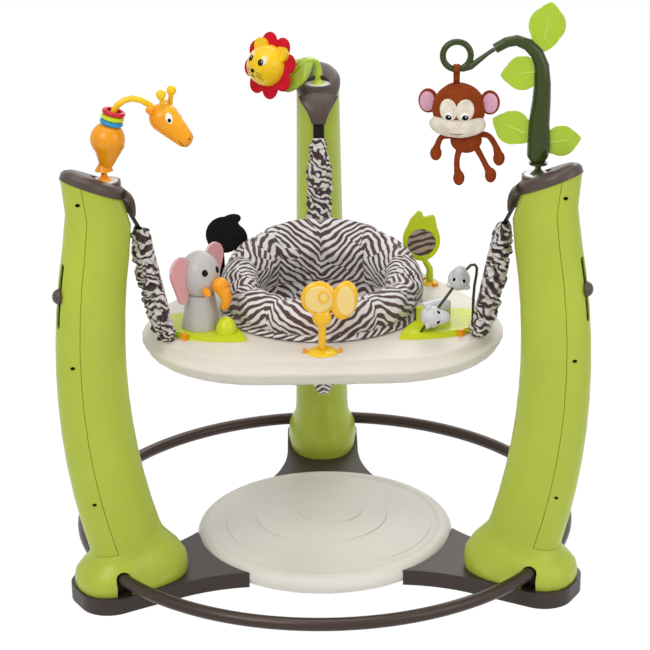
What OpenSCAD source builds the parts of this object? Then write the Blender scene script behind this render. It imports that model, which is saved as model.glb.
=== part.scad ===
/* [Base] */
// Radius of the ground ring, to the middle of its tube
ring_r = 430; // [424:1:436]
// Height of the middle of the ground ring's tube
ring_z = 56; // [54:1:60]
// Outside diameter of the ground ring's tube
tube_d = 22; // [18:0.5:23]
// Wall of the ground ring's tube
tube_wall = 1.5; // [1:0.1:3]
// Radius of the jumping pad
pad_r = 228; // [220:1:236]
// Height of the jumping pad's rim
pad_h = 36; // [32:1:40]
// Wall of the jumping pad
pad_wall = 4; // [3:0.5:6]
// Height of one terrace on the jumping pad
terrace_h = 2.5; // [1:0.5:4]
// Height of the leg plates
leg_h = 28; // [25:1:30]
// Half width of a leg plate under its boot
leg_half_w = 68; // [66:1:74]
// Wall of the leg plates
leg_wall = 5; // [3:0.5:7]

/* [Towers] */
// Height of a tower's top edge, at the middle of its section
tower_top = 728; // [716:1:740]
// Height of the outermost point of a tower's bow
bow_z = 425; // [405:5:445]
// Distance of that point from the middle axis of the frame
bow_r = 441; // [436:1:446]
// Radius of a tower's bow
bow_curve = 1060; // [1000:10:1120]
// Half depth of a tower's section at its foot
depth_low = 65; // [62:0.5:67]
// Half depth of a tower's section at its top
depth_top = 56; // [54:0.5:59]
// Half width of a tower's section at its foot
width_low = 50; // [47:0.5:52]
// Half width of a tower's section at its top
width_top = 39.5; // [38:0.5:42]
// Wall of the tower shells
tower_wall = 3; // [2.5:0.25:4]
// Distance of the seam between the two shells from the middle of the section
seam_x = 36; // [33:0.5:39]
// Thickness of a tower's cap
cap_t = 20; // [18:0.5:23]
// Width of the height slot in a tower's cover
slot_w = 11; // [9:0.5:13]
// Travel of a height knob each way from the middle
knob_travel = 37; // [20:1:38]

/* [Suspension] */
// Width of the webbing straps
strap_w = 20; // [16:1:22]
// Thickness of the webbing straps
strap_t = 1.6; // [1.2:0.1:2]
// Height of the hangers that end the straps
hang_z = 640; // [632:1:648]
// Distance of the hangers from the middle axis
hang_r = 343; // [338:1:347]
// Diameter of the spring wire
wire_d = 2.5; // [2:0.1:3]
// Radius of a spring, to the middle of its wire
coil_r = 9.6; // [9:0.1:10.5]
// Turns of a spring
coil_turns = 12; // [9:1:13]
// Largest radius of a gathered spring cover
cover_r = 20; // [18:0.5:22]

/* [Tray] */
// Height of the tray's top face
tray_z = 445; // [440:1:450]
// Distance of the tray's corner centres from the middle axis
tray_d = 120; // [112:1:126]
// Corner radius of the tray at its lip
lip_u = 205; // [201:1:208]
// Height from the tray's underside to its top face
tray_h = 46; // [42:1:52]
// Wall of the tray shells
tray_wall = 3; // [2:0.25:4]
// Radius of the seat opening in the tray
seat_r = 150; // [144:1:154]
// Distance of the spring anchors from the middle axis
anchor_r = 302; // [298:1:304]

/* [Seat] */
// Height of the seat pad's front roll above the tray
pad_front = 60; // [50:1:70]
// Height of the seat pad's back above the tray
pad_back = 112; // [95:1:125]
// Depth of the seat's sling below the tray's top face
sling_deep = 142; // [125:1:150]
// Radius of the leg openings in the sling
leg_hole_r = 46; // [40:1:50]

/* [Toys] */
// Length of the two leaf shaped toy bases on the tray
base_l = 180; // [168:1:184]
// Width of the two leaf shaped toy bases on the tray
base_w = 104; // [96:1:108]
// Thickness of the toy bases
base_h = 9; // [8:0.5:12]
// Radius of the giraffe's bulb
bulb_r = 28; // [26:0.5:30]
// Radius of the lion's mane
mane_r = 62; // [56:1:66]
// Radius of the ring at the end of the vine
loop_r = 22; // [19:0.5:24]
// Height of the monkey's head
monkey_h = 84; // [78:1:88]

/* [Hidden] */
$fn = 64;
towers = [210, 330, 90];
seam_gap = 0.8;
fit_gap = 0.4;
slide_gap = 0.3;
pin_gap = 0.05;
over = 1;

// Towers: middle line, lean and half sizes of the section by height
boot_top = 108;
head_start = 640;
head_flare = 27;
head_lean = 7.4;
keel = 0.08;
function mix(a, b, u) = a + (b - a) * u;
function flare(z) = pow(max(0, (z - head_start) / (tower_top - head_start)), 2);
function spine_r(z) = bow_r - pow(z - bow_z, 2) / (2 * bow_curve) + head_flare * flare(z);
function spine_lean(z) = asin((z - bow_z) / bow_curve) + head_lean * flare(z);
function part_up(z) = (z - boot_top) / (tower_top - boot_top);
function half_depth(z) = mix(depth_low, depth_top, part_up(z));
function half_width(z) = mix(width_low, width_top, part_up(z));
function seam_angle(z, inset, shift) = acos((seam_x + shift) / (half_depth(z) - inset));
function swell(v, power) = sign(v) * pow(abs(v), 2 / power);

// One point of an oval section whose plane leans in the radial direction
function oval_point(r, z, lean, a, b, power, q) =
    let (x = a * swell(cos(q), power), y = b * swell(sin(q), power) * (1 + keel * cos(q)))
    [r + x * cos(lean), y, z + x * sin(lean)];
function oval(r, z, lean, a, b, power, n) =
    [for (k = [0:n - 1]) oval_point(r, z, lean, a, b, power, 360 * k / n)];
function tower_arc(z, inset, from, to, n) =
    [for (k = [0:n - 1]) oval_point(spine_r(z), z, spine_lean(z), half_depth(z) - inset,
        half_width(z) - inset, 2, mix(from, to, k / (n - 1)))];

// A closed skin over a stack of rings: the ends are capped, or the stack runs round in a loop
module skin(rings, loop = false, strip = false) {
    n = len(rings[0]);
    m = len(rings);
    last = loop ? m - 1 : m - 2;
    half = n / 2;
    sides = [for (i = [0:last], j = [0:n - 1])
        let (a = i * n, b = ((i + 1) % m) * n, k = (j + 1) % n)
        each [[a + j, b + j, b + k], [a + j, b + k, a + k]]];
    end = (m - 1) * n;
    round_caps = [[for (j = [0:n - 1]) j], [for (j = [n - 1:-1:0]) end + j]];
    strip_caps = [for (j = [0:half - 2])
        each [[j, j + 1, n - 2 - j, n - 1 - j], [end + n - 1 - j, end + n - 2 - j, end + j + 1, end + j]]];
    caps = loop ? [] : strip ? strip_caps : round_caps;
    polyhedron(points = [for (ring = rings) each ring], faces = concat(sides, caps), convexity = 8);
}

// A tube of changing radius, or of changing width and thickness, along points in the XZ plane
function along(path, i) =
    let (a = path[max(0, i - 1)], b = path[min(len(path) - 1, i + 1)]) (b - a) / norm(b - a);
module tube_xz(path, radii, sides = 10, half_widths = [], power = 2) {
    wide = len(half_widths) > 0 ? half_widths : radii;
    skin([for (i = [0:len(path) - 1]) let (t = along(path, i))
        [for (k = [0:sides - 1]) let (q = 360 * k / sides, out = radii[i] * swell(sin(q), power))
            [path[i][0] - out * t[1], wide[i] * swell(cos(q), power), path[i][1] + out * t[0]]]]);
}

// An egg on the Z axis: radius low at z = 0, radius high at the given height
module egg(low, high, height) {
    steps = 12;
    lift = asin((low - high) / height);
    lower = [for (k = [0:steps]) let (q = mix(-90, lift, k / steps)) [low * cos(q), low * sin(q)]];
    upper = [for (k = [0:steps]) let (q = mix(lift, 90, k / steps)) [high * cos(q), height + high * sin(q)]];
    rotate_extrude()
        polygon([for (p = concat(lower, upper)) [max(0, p[0]), p[1]]]);
}

// A ball with its own half height on the Z axis
module spheroid(r, half_h) {
    steps = 24;
    rotate_extrude()
        polygon([for (k = [0:steps]) let (q = mix(-90, 90, k / steps)) [max(0, r * cos(q)), half_h * sin(q)]]);
}

// A leaf outline: two arcs that meet in points, along the X axis
module leaf_outline(length, width) {
    r = (pow(length, 2) + pow(width, 2)) / (4 * width);
    intersection() {
        translate([0, r - width / 2])
            circle(r);
        translate([0, width / 2 - r])
            circle(r);
    }
}

// Frames of the towers' heads and of the springs, in a tower's own plane
head_r = spine_r(tower_top);
lean = spine_lean(tower_top);
function head_point(x, z) = [head_r + x * cos(lean) - z * sin(lean), tower_top + x * sin(lean) + z * cos(lean)];
module at_head() {
    translate([head_r, 0, tower_top])
        rotate([0, -lean, 0])
            children();
}
module at_height(z) {
    translate([spine_r(z), 0, z])
        rotate([0, -spine_lean(z), 0])
            children();
}
anchor_h = 8;
anchor_z = tray_z + anchor_h;
spring_lean = atan2(hang_r - anchor_r, hang_z - anchor_z);
spring_l = norm([hang_r - anchor_r, hang_z - anchor_z]);
module at_spring() {
    translate([anchor_r, 0, anchor_z])
        rotate([0, spring_lean, 0])
            children();
}
function spring_point(x, z) =
    [anchor_r + x * cos(spring_lean) + z * sin(spring_lean), anchor_z - x * sin(spring_lean) + z * cos(spring_lean)];

// Sockets on the caps, where the stems of the three tall toys stand
socket_x = -16;
dish_r = 22;
plate_t = 4;
stem_r = 5;
stem_h = 16;
pin_r = 4;
pin_h = 10;
socket = head_point(socket_x, cap_t + over);
module at_socket(az) {
    translate([socket[0] * cos(az), socket[0] * sin(az), socket[1]])
        children();
}
toy_z = stem_h + slide_gap;
module pin_bore() {
    translate([0, 0, toy_z - over])
        cylinder(r = pin_r + pin_gap, h = pin_h + 2 * over);
}

// Base
tongue_h = 10;
tongue_in = 36;
tongue_half_w = 58;
hub_r = 44;
flare_r = 290;
flare_start = ring_r - 100;
foot_end = ring_r + 57;
foot_corner = 52;
module leg_outline(inset) {
    difference() {
        union() {
            hull() {
                for (side = [-1, 1])
                    translate([foot_end - foot_corner, side * (leg_half_w - foot_corner)])
                        circle(foot_corner - inset);
                translate([flare_start - foot_corner, inset - leg_half_w])
                    square([foot_corner, 2 * (leg_half_w - inset)]);
            }
            translate([pad_r / 2, -1.5 * leg_half_w])
                square([flare_start - pad_r / 2, 3 * leg_half_w]);
        }
        for (side = [-1, 1])
            translate([flare_start, side * (leg_half_w + flare_r)])
                circle(flare_r + inset);
        circle(pad_r + fit_gap + inset);
    }
}
saddle_angle = 4.7;
saddle_l = 14;
saddle_w = tube_d + 8;
module leg() {
    difference() {
        union() {
            difference() {
                linear_extrude(leg_h)
                    leg_outline(0);
                translate([0, 0, -over])
                    linear_extrude(leg_h - leg_wall + over)
                        leg_outline(leg_wall);
            }
            translate([pad_r - tongue_in, -tongue_half_w, 0])
                cube([tongue_in + 3 * leg_wall, 2 * tongue_half_w, tongue_h]);
            for (side = [-1, 1])
                rotate([0, 0, side * saddle_angle])
                    translate([ring_r - saddle_w / 2, -saddle_l / 2, leg_h - over])
                        cube([saddle_w, saddle_l, ring_z - leg_h + over]);
        }
        for (side = [-1, 1])
            rotate([0, 0, side * saddle_angle])
                translate([ring_r, saddle_l, ring_z])
                    rotate([90, 0, 0])
                        cylinder(r = tube_d / 2 + slide_gap, h = 2 * saddle_l);
    }
}
module base_legs() {
    color("dimgray")
        for (az = towers)
            rotate([0, 0, az])
                leg();
}

tube_end = 3.2;
module base_ring() {
    color("black")
        for (az = towers)
            rotate([0, 0, az + tube_end])
                rotate_extrude(angle = 120 - 2 * tube_end)
                    translate([ring_r, ring_z])
                        difference() {
                            circle(d = tube_d);
                            circle(d = tube_d - 2 * tube_wall);
                        }
}

// Terraces of the pad: radius and the shift of each centre
terraces = [[184, 8, 6], [118, -6, 30], [58, 10, 44]];
module base_pad() {
    rim_r = pad_h / 2;
    deck_z = pad_h - 3;
    color("linen")
        difference() {
            union() {
                rotate_extrude() {
                    square([pad_r - rim_r, deck_z]);
                    translate([pad_r - rim_r, rim_r])
                        circle(rim_r);
                    translate([pad_r - 2 * rim_r, 0])
                        square([rim_r, rim_r]);
                }
                for (k = [0:len(terraces) - 1])
                    translate([terraces[k][1], terraces[k][2], deck_z - over])
                        cylinder(r = terraces[k][0], h = over + (k + 1) * terrace_h - terrace_h / 2);
            }
            translate([0, 0, -over])
                rotate_extrude()
                    translate([hub_r, 0])
                        square([pad_r - pad_h - hub_r, deck_z - pad_wall + over]);
            for (az = towers)
                rotate([0, 0, az])
                    translate([pad_r - pad_h - 2 * over, -tongue_half_w - fit_gap, -over])
                        cube([2 * pad_h, 2 * (tongue_half_w + fit_gap), tongue_h + fit_gap + over]);
        }
}

// Towers: the boot's rings give height, shift, lean, half depth, half width and squareness
boot_r = ring_r - 45;
boot_rings = [
    [leg_h, boot_r, 0, 98, leg_half_w - 5, 2.5],
    [44, boot_r - 1, -1, 100, leg_half_w - 2.5, 2.5],
    [60, boot_r - 0.5, -3, 97, leg_half_w - 4.5, 2.4],
    [74, boot_r + 1, -6, 88, leg_half_w - 9.5, 2.3],
    [85, boot_r + 4, -10, 77, 53, 2.2],
    [95, boot_r + 7, -14, 69, 50.8, 2.1]
];
boot_sides = 24;
boot_wall = 4;
function boot_ring(k, inset) =
    let (b = boot_rings[k])
    oval(b[1], b[0], b[2], b[3] - inset, b[4] - inset, b[5], boot_sides);
tower_steps = 12;
function tower_z(k) = mix(boot_top, tower_top, k / tower_steps);
inner_n = 15;
cover_n = 9;
notch_r = tube_d / 2 + 2.5;
module tower_inner(az) {
    shells = [for (k = [0:tower_steps]) let (z = tower_z(k), g = -seam_gap / 2,
        q = seam_angle(z, 0, g), p = seam_angle(z, tower_wall, g))
        concat(tower_arc(z, 0, q, 360 - q, inner_n), tower_arc(z, tower_wall, 360 - p, p, inner_n))];
    boot_last = len(boot_rings) - 1;
    boot = concat([for (k = [boot_last - 1:-1:0]) boot_ring(k, boot_wall)],
        [for (k = [0:boot_last]) boot_ring(k, 0)],
        [oval(spine_r(boot_top), boot_top, spine_lean(boot_top), depth_low, width_low, 2, boot_sides)]);
    color("yellowgreen")
        rotate([0, 0, az])
            difference() {
                union() {
                    skin(shells, strip = true);
                    skin(boot);
                }
                translate([ring_r - 2.5, 2 * leg_half_w, ring_z])
                    rotate([90, 0, 0])
                        cylinder(r = notch_r, h = 4 * leg_half_w);
                translate([ring_r - 2.5 - notch_r, -2 * leg_half_w, leg_h - over])
                    cube([2 * notch_r, 4 * leg_half_w, ring_z - leg_h + over]);
            }
}

knob_z = 552;
knob_h = 24;
slot_l = knob_h + 2 * knob_travel + 12;
screw_r = 3;
screw_l = 14;
screw_zs = [205, 442, 700];
screw_x = 46;
screw_in = 3;
function cover_half(z) = half_width(z) * sqrt(1 - pow(screw_x / half_depth(z), 2));
module tower_cover(az) {
    shells = [for (k = [0:tower_steps])
        let (z = mix(boot_top + seam_gap, tower_top, k / tower_steps), g = seam_gap / 2,
            q = seam_angle(z, 0, g), p = seam_angle(z, tower_wall, g))
        concat(tower_arc(z, 0, -q, q, cover_n), tower_arc(z, tower_wall, p, -p, cover_n))];
    color("yellowgreen")
        rotate([0, 0, az])
            difference() {
                skin(shells, strip = true);
                at_height(knob_z)
                    for (end = [-1, 1])
                        translate([screw_x, 0, end * (slot_l - slot_w) / 2])
                            rotate([0, 90, 0])
                                cylinder(d = slot_w, h = depth_low);
                at_height(knob_z)
                    translate([screw_x, -slot_w / 2, (slot_w - slot_l) / 2])
                        cube([depth_low, slot_w, slot_l - slot_w]);
                for (z = screw_zs)
                    at_height(z)
                        translate([screw_x, half_width(z), 0])
                            rotate([90, 0, 0])
                                cylinder(r = screw_r + slide_gap, h = 2 * half_width(z));
            }
}
module tower_covers() {
    for (az = towers)
        tower_cover(az);
}
module frame_screws() {
    color("darkslategray")
        for (az = towers, z = screw_zs, side = [-1, 1])
            rotate([0, 0, az])
                at_height(z)
                    translate([screw_x, side * (cover_half(z) - screw_in), 0])
                        rotate([side * 90, 0, 0]) {
                            cylinder(r = screw_r, h = screw_l / 4);
                            cylinder(r = screw_r / 2, h = screw_l);
                        }
}

// Caps: an oval lid with a level collar for a toy's plate, and a beak that leads the strap out over a bar
bar_r = 4;
bar_x = -46;
bar_z = 6;
bar_half_l = strap_w / 2 + 10;
cap_lip = 2;
cavity_half_w = strap_w / 2 + 4;
cap_sides = 28;
collar_wall = 4;
collar_h = 14;
// Points of the beak's middle line, with its half thickness and half width at each
beak = [[-44, 10.2, 9, 37], [-55, 8.6, 7.5, 33], [-64.8, 2.6, 6.75, 26], [-73.4, -5.5, 6, strap_w / 2 + 9.5],
    [-79.3, -13.6, 5.25, strap_w / 2 + 5.5], [-83.5, -21.1, 4.5, strap_w / 2 + 3]];
module tower_cap(az) {
    a = half_depth(tower_top);
    b = half_width(tower_top);
    rings = [[0, cap_lip, cap_lip], [cap_t / 2, 1.3 * cap_lip, 1.3 * cap_lip],
        [0.8 * cap_t, -1.5, -1.5], [cap_t, -10, -9]];
    color("dimgray")
        rotate([0, 0, az])
            difference() {
                union() {
                    at_head() {
                        skin([for (g = rings)
                            oval(0, g[0] + seam_gap / 2, 0, a + g[1], b + g[2], 2, cap_sides)]);
                        tube_xz([for (p = beak) [p[0], p[1]]], [for (p = beak) p[2]], 20,
                            [for (p = beak) p[3]], 2.5);
                    }
                    translate([socket[0], 0, socket[1] - over - collar_h])
                        cylinder(r = dish_r + collar_wall, h = collar_h);
                }
                at_head() {
                    translate([bar_x - 9, -cavity_half_w, -over])
                        cube([18 - bar_x / 2, 2 * cavity_half_w, cap_t - 7]);
                    strap_slot();
                    translate([bar_x, bar_half_l + pin_gap, bar_z])
                        rotate([90, 0, 0])
                            cylinder(r = bar_r + pin_gap, h = 2 * (bar_half_l + pin_gap));
                }
                translate([socket[0], 0, socket[1] - plate_t - slide_gap])
                    cylinder(r = dish_r + fit_gap, h = 2 * cap_t);
            }
}
// The way out for the strap, from above the bar to the tip of the beak
slot_room = 5;
slot_open = 6;
slot_past = 14;
wrap_r = bar_r + strap_t / 2 + slide_gap;
beak_tip = beak[len(beak) - 1];
mouth = [beak_tip[0] - 0.5, beak_tip[1] - 0.9];
module strap_slot() {
    start = [bar_x, bar_z + wrap_r];
    run = start - mouth;
    translate([mouth[0], 0, mouth[1]])
        rotate([0, -atan2(run[1], run[0]), 0])
            translate([-slot_past, -strap_w / 2 - 1, -slot_room / 2 - slot_open])
                cube([norm(run) + slot_past, strap_w + 2, slot_room + slot_open]);
}
module strap_bars() {
    color("silver")
        for (az = towers)
            rotate([0, 0, az])
                at_head()
                    translate([bar_x, bar_half_l, bar_z])
                        rotate([90, 0, 0])
                            cylinder(r = bar_r, h = 2 * bar_half_l);
}

// A knob's slider runs inside the cover, its stem in the slot and its grip outside
grip_t = 9;
slider_x = half_depth(knob_z) - 9;
slider_t = 4;
module height_knob(az) {
    grip_x = half_depth(knob_z) + 2;
    stem_w = slot_w - 2 * fit_gap;
    color("dimgray")
        rotate([0, 0, az])
            at_height(knob_z) {
                translate([slider_x - slider_t, -slot_w, -knob_h * 0.7])
                    cube([slider_t, 2 * slot_w, knob_h * 1.4]);
                translate([slider_x - over, -stem_w / 2, -knob_h / 2])
                    cube([grip_x - slider_x + 2 * over, stem_w, knob_h]);
                translate([grip_x, 0, 0])
                    rotate([0, 90, 0])
                        difference() {
                            spheroid(knob_h / 2, grip_t);
                            translate([0, 0, -grip_t - over])
                                cylinder(r = knob_h, h = grip_t + over);
                        }
            }
}

// Straps: points of the route in a tower's plane, from the hanger to the slider
hanger_t = 5;
module strap_webbing() {
    slider_in = slider_x - slider_t - strap_t / 2 - slide_gap;
    slider = [spine_r(knob_z) + slider_in * cos(spine_lean(knob_z)),
        knob_z + slider_in * sin(spine_lean(knob_z))];
    wrap = [for (q = [125:-25:0]) head_point(bar_x + wrap_r * cos(q), bar_z + wrap_r * sin(q))];
    route = concat([spring_point(0, spring_l + hanger_t + slide_gap), spring_point(0, spring_l + hanger_t + 8),
        head_point(mouth[0], mouth[1])], wrap, [head_point(bar_x + wrap_r, bar_z - 20), slider]);
    side = [for (i = [0:len(route) - 1]) let (t = along(route, i)) [-t[1], t[0]] * strap_t / 2];
    last = len(route) - 1;
    outline = concat([for (i = [0:last]) route[i] + side[i]], [for (i = [last:-1:0]) route[i] - side[i]]);
    color("black")
        for (az = towers)
            rotate([0, 0, az])
                translate([0, strap_w / 2, 0])
                    rotate([90, 0, 0])
                        linear_extrude(strap_w)
                            polygon(outline);
}
coil_rings = 8;
plug_r = coil_r * cos(180 / coil_rings) - wire_d / 2 - slide_gap;
plug_h = 10;
disc_r = 12;
module spring_hangers() {
    color("black")
        for (az = towers)
            rotate([0, 0, az])
                at_spring()
                    translate([0, 0, spring_l - plug_h]) {
                        cylinder(r = plug_r, h = plug_h + over);
                        translate([0, 0, plug_h])
                            cylinder(r = disc_r, h = hanger_t);
                    }
}

// Springs: one wire each, with its ends clear of the discs
coil_sides = 6;
coil_start = wire_d / 2 + slide_gap;
coil_pitch = (spring_l - 2 * coil_start) / coil_turns;
function coil_ring(i) =
    let (a = 360 * i / coil_rings, rise = coil_pitch / 360 * 180 / PI,
        t = [-coil_r * sin(a), coil_r * cos(a), rise] / norm([coil_r, rise]),
        out = [cos(a), sin(a), 0], up = cross(t, out),
        middle = [coil_r * cos(a), coil_r * sin(a), coil_start + coil_pitch * i / coil_rings])
    [for (k = [0:coil_sides - 1]) middle + wire_d / 2 * (cos(360 * k / coil_sides) * out
        + sin(360 * k / coil_sides) * up)];
coil_points = [for (i = [0:coil_rings * coil_turns]) coil_ring(i)];
coil_gap = min([for (i = [0:coil_rings], j = [coil_rings - 1:coil_rings + 1], p = coil_points[i],
    q = coil_points[min(i + j, coil_rings * coil_turns)]) norm(p - q)]);
echo(least_gap_between_turns = coil_gap);
module springs() {
    color("silver")
        for (az = towers)
            rotate([0, 0, az])
                at_spring()
                    skin(coil_points);
}

// Gathered covers: tucks of cloth round the springs
tucks = 9;
cover_bore = disc_r + fit_gap;
cover_over = 3;
module spring_covers() {
    steps = tucks * 4;
    length = spring_l + 2 * cover_over;
    function cover_half_at(u) = mix(cover_bore + 2, cover_r, 0.35 + 0.65 * sin(180 * u))
        - 1.6 * (1 - cos(360 * tucks * u));
    outer = [for (k = [0:steps]) let (u = k / steps) [max(cover_bore + 1.2, cover_half_at(u)), length * u]];
    color("white")
        for (az = towers)
            rotate([0, 0, az])
                at_spring()
                    translate([0, 0, -cover_over])
                        rotate_extrude()
                            polygon(concat([[cover_bore, 0]], outer, [[cover_bore, length]]));
}

// Tray: a profile carried round a triangle with round corners, from inside the seat opening outward
top_u = lip_u - 15;
hub_u = 20;
rim_steps = 12;
function rim_point(az, turn, p) =
    [tray_d * cos(az) + p[0] * cos(az + turn), tray_d * sin(az) + p[0] * sin(az + turn), p[1]];
function rim_rings(profile) = [for (az = [90, 210, 330], k = [0:rim_steps])
    [for (p = profile) rim_point(az, mix(-60, 60, k / rim_steps), p)]];
lip_z = tray_z - 20;
low_z = tray_z - tray_h;
collar_w = 3;
module tray_top() {
    w = tray_wall;
    profile = [[hub_u, tray_z], [top_u - 6, tray_z], [top_u - 2, tray_z - 1.5], [top_u, tray_z - 5],
        [top_u + 1.5, tray_z - 11], [top_u + 5, tray_z - 15], [lip_u - 2, lip_z + 2.5], [lip_u, lip_z],
        [lip_u, lip_z - 4], [lip_u - w, lip_z - 4], [lip_u - w - 1, lip_z + 3 - w],
        [top_u + 4 - w, tray_z - 16 - w / 2], [top_u + 1.5 - w, tray_z - 11], [top_u - w, tray_z - 6],
        [top_u - 2 - w, tray_z - w], [hub_u, tray_z - w]];
    color("linen")
        difference() {
            union() {
                skin(rim_rings(profile), loop = true);
                translate([0, 0, low_z + w + fit_gap])
                    cylinder(r = seat_r + collar_w, h = tray_h - 1.5 * w - fit_gap);
            }
            translate([0, 0, low_z])
                cylinder(r = seat_r, h = 2 * tray_h);
            for (az = towers)
                rotate([0, 0, az])
                    translate([anchor_r - anchor_in, 0, tray_z - 2 * w])
                        cylinder(r = anchor_pin_r + slide_gap, h = 3 * w);
        }
}
module tray_base() {
    w = tray_wall;
    top = lip_z - 4 - fit_gap;
    floor_u = lip_u - 26;
    profile = [[hub_u, low_z + w], [floor_u - 1, low_z + w], [lip_u - 17, low_z + 3 + w / 2],
        [lip_u - 8 - w, low_z + 9], [lip_u - 3 - w, top - 3], [lip_u - 2 - w, top], [lip_u - 2, top],
        [lip_u - 3, top - 4], [lip_u - 8, low_z + 8], [lip_u - 15, low_z + 2.5], [floor_u, low_z], [hub_u, low_z]];
    color("linen")
        difference() {
            skin(rim_rings(profile), loop = true);
            translate([0, 0, low_z - over])
                cylinder(r = seat_r, h = tray_h);
        }
}
anchor_pin_r = 4;
anchor_in = 6;
module tray_anchors() {
    color("dimgray")
        for (az = towers)
            rotate([0, 0, az]) {
                translate([anchor_r - anchor_in, 0, tray_z - 2 * tray_wall])
                    cylinder(r = anchor_pin_r, h = 2 * tray_wall + anchor_h);
                translate([anchor_r - anchor_in, 0, tray_z])
                    cylinder(r = 2 * anchor_pin_r, h = 2);
                at_spring() {
                    translate([0, 0, -2])
                        cylinder(r = disc_r - 2, h = 2);
                    cylinder(r = plug_r, h = plug_h);
                }
            }
}
screw_spots = [for (az = towers, turn = [-38, 38]) [lip_u + 15, az + turn]];
module tray_screws() {
    length = tray_h - 2 * tray_wall - 2 * slide_gap;
    color("darkslategray")
        for (s = screw_spots)
            rotate([0, 0, s[1]])
                translate([s[0], 0, low_z + tray_wall + slide_gap])
                    cylinder(r = screw_r, h = length);
}

// Seat: a ring that turns in the tray, its padded rim and the sling with its leg openings
ring_flange = 17;
flange_t = 4;
seat_wall = 4;
module seat_ring() {
    in_r = seat_r - fit_gap - seat_wall;
    top = tray_z + slide_gap + flange_t;
    color("silver")
        rotate_extrude()
            polygon([[in_r, low_z + 6], [seat_r - fit_gap, low_z + 6], [seat_r - fit_gap, tray_z + slide_gap],
                [seat_r + ring_flange, tray_z + slide_gap], [seat_r + ring_flange, top], [in_r, top]]);
}

// Padded rim: height and lean by direction, drawn in at the seams between its panels
pad_base = tray_z + slide_gap + flange_t + slide_gap;
pad_steps = 54;
pad_out = seat_r + 23;
panels = 6;
function rise(a) = mix(pad_front, pad_back, pow((1 + sin(a)) / 2, 1.5));
function tuck(a) = 4 * pow(abs(cos(panels / 2 * (a - 60))), 24);
function pad_ring(a) =
    let (h = rise(a) - (pad_base - tray_z), t = tuck(a), lean_out = 12 * (rise(a) - pad_front) / (pad_back - pad_front),
        loop = [[pad_out - 33, 1], [pad_out - 20, 0.96], [pad_out - 8, 0.8], [pad_out - 1, 0.58],
            [pad_out, 0.38], [pad_out - 4, 0.16], [pad_out - 11, 0.02], [pad_out - 24, 0], [pad_out - 38, 0],
            [pad_out - 50, 0.06], [pad_out - 56, 0.3], [pad_out - 57, 0.55], [pad_out - 54, 0.8],
            [pad_out - 46, 0.95]])
    [for (p = loop) let (r = p[0] + lean_out * (p[1] - 0.4) - (p[0] > pad_out - 33 ? t : -t) * sin(180 * p[1]))
        [r * cos(a), r * sin(a), pad_base + h * p[1] - (p[1] > 0.9 ? t : 0)]];
module seat_pad() {
    color("white")
        skin([for (k = [0:pad_steps - 1]) pad_ring(360 * k / pad_steps)], loop = true);
}
sling_t = 4;
sling_top = tray_z - 4;
sling_r = seat_r - fit_gap - seat_wall - slide_gap;
leg_spread = 38;
sling_bottom = tray_z - sling_deep;
floor_h = 30;
floor_r = 96;
module sling_bag() {
    outer = [[0, sling_bottom], [floor_r - 40, sling_bottom + 2], [floor_r - 14, sling_bottom + 12],
        [floor_r, sling_bottom + floor_h], [sling_r - 22, sling_bottom + 70], [sling_r - 6, sling_bottom + 105],
        [sling_r, sling_top]];
    inner = [for (k = [len(outer) - 1:-1:0]) let (p = outer[k])
        [max(0, p[0] - sling_t), k == len(outer) - 1 ? p[1] : p[1] + sling_t]];
    difference() {
        rotate_extrude()
            polygon(concat(outer, inner));
        for (side = [-1, 1])
            translate([0, 0, sling_bottom + 58])
                rotate([0, 0, -90 + side * leg_spread])
                    rotate([0, 112, 0])
                        translate([0, 0, 40])
                            cylinder(r = leg_hole_r, h = seat_r);
    }
}
module below_panel(h) {
    translate([0, 0, sling_bottom - over])
        cylinder(r = seat_r, h = h + over);
}
module seat_sling() {
    color("white")
        difference() {
            sling_bag();
            below_panel(floor_h + slide_gap);
        }
}
module sling_floor() {
    color("white")
        intersection() {
            sling_bag();
            below_panel(floor_h);
        }
}

// Toy bases on the tray: round at one end and pointed at the other, mirrored left and right
pod_r = seat_r + 78.3;
pod_az = -28.8;
pod = [pod_r * cos(pod_az), pod_r * sin(pod_az)];
pod_turn = 36.6;
egg_x = -48;
egg_r = 18;
module at_pod(side) {
    translate([side * pod[0], pod[1], tray_z])
        mirror([side < 0 ? 1 : 0, 0, 0])
            rotate([0, 0, pod_turn])
                children();
}
base_round = (base_l - base_w) / 2;
base_tip = base_l - base_w / 2;
base_arc = base_w / 4 + pow(base_tip, 2) / base_w;
function base_half(x) = sqrt(pow(base_arc, 2) - pow(x - base_round, 2)) - base_arc + base_w / 2;
module pod_outline(inset) {
    translate([base_round, 0]) {
        circle(base_w / 2 - inset);
        intersection() {
            leaf_outline(2 * base_tip - 3 * inset, base_w - 2 * inset);
            translate([-base_tip, -base_w / 2])
                square([base_tip, base_w]);
        }
    }
}
module pod_base() {
    linear_extrude(base_h - 3)
        pod_outline(0);
    translate([0, 0, base_h - 3 - over])
        linear_extrude(3 + over)
            pod_outline(4.5);
}
module elephant_base() {
    color("yellowgreen")
        at_pod(-1) {
            difference() {
                pod_base();
                translate([egg_x, 0, -over])
                    cylinder(r = egg_r + fit_gap, h = 2 * base_h);
            }
            translate([elephant_x, 0, base_h - over])
                cylinder(r = pin_r, h = pin_h + over);
        }
}
module bead_base() {
    color("yellowgreen")
        at_pod(1) {
            pod_base();
            for (end = [-1, 1])
                translate([drum_x + end * (drum_l / 2 + 3 + slide_gap), drum_y, 0])
                    difference() {
                        translate([-3, -8, 0])
                            cube([6, 16, drum_z + 8]);
                        translate([-4, 0, drum_z])
                            rotate([0, 90, 0])
                                cylinder(r = axle_r + pin_gap, h = 8);
                    }
        }
}

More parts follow.
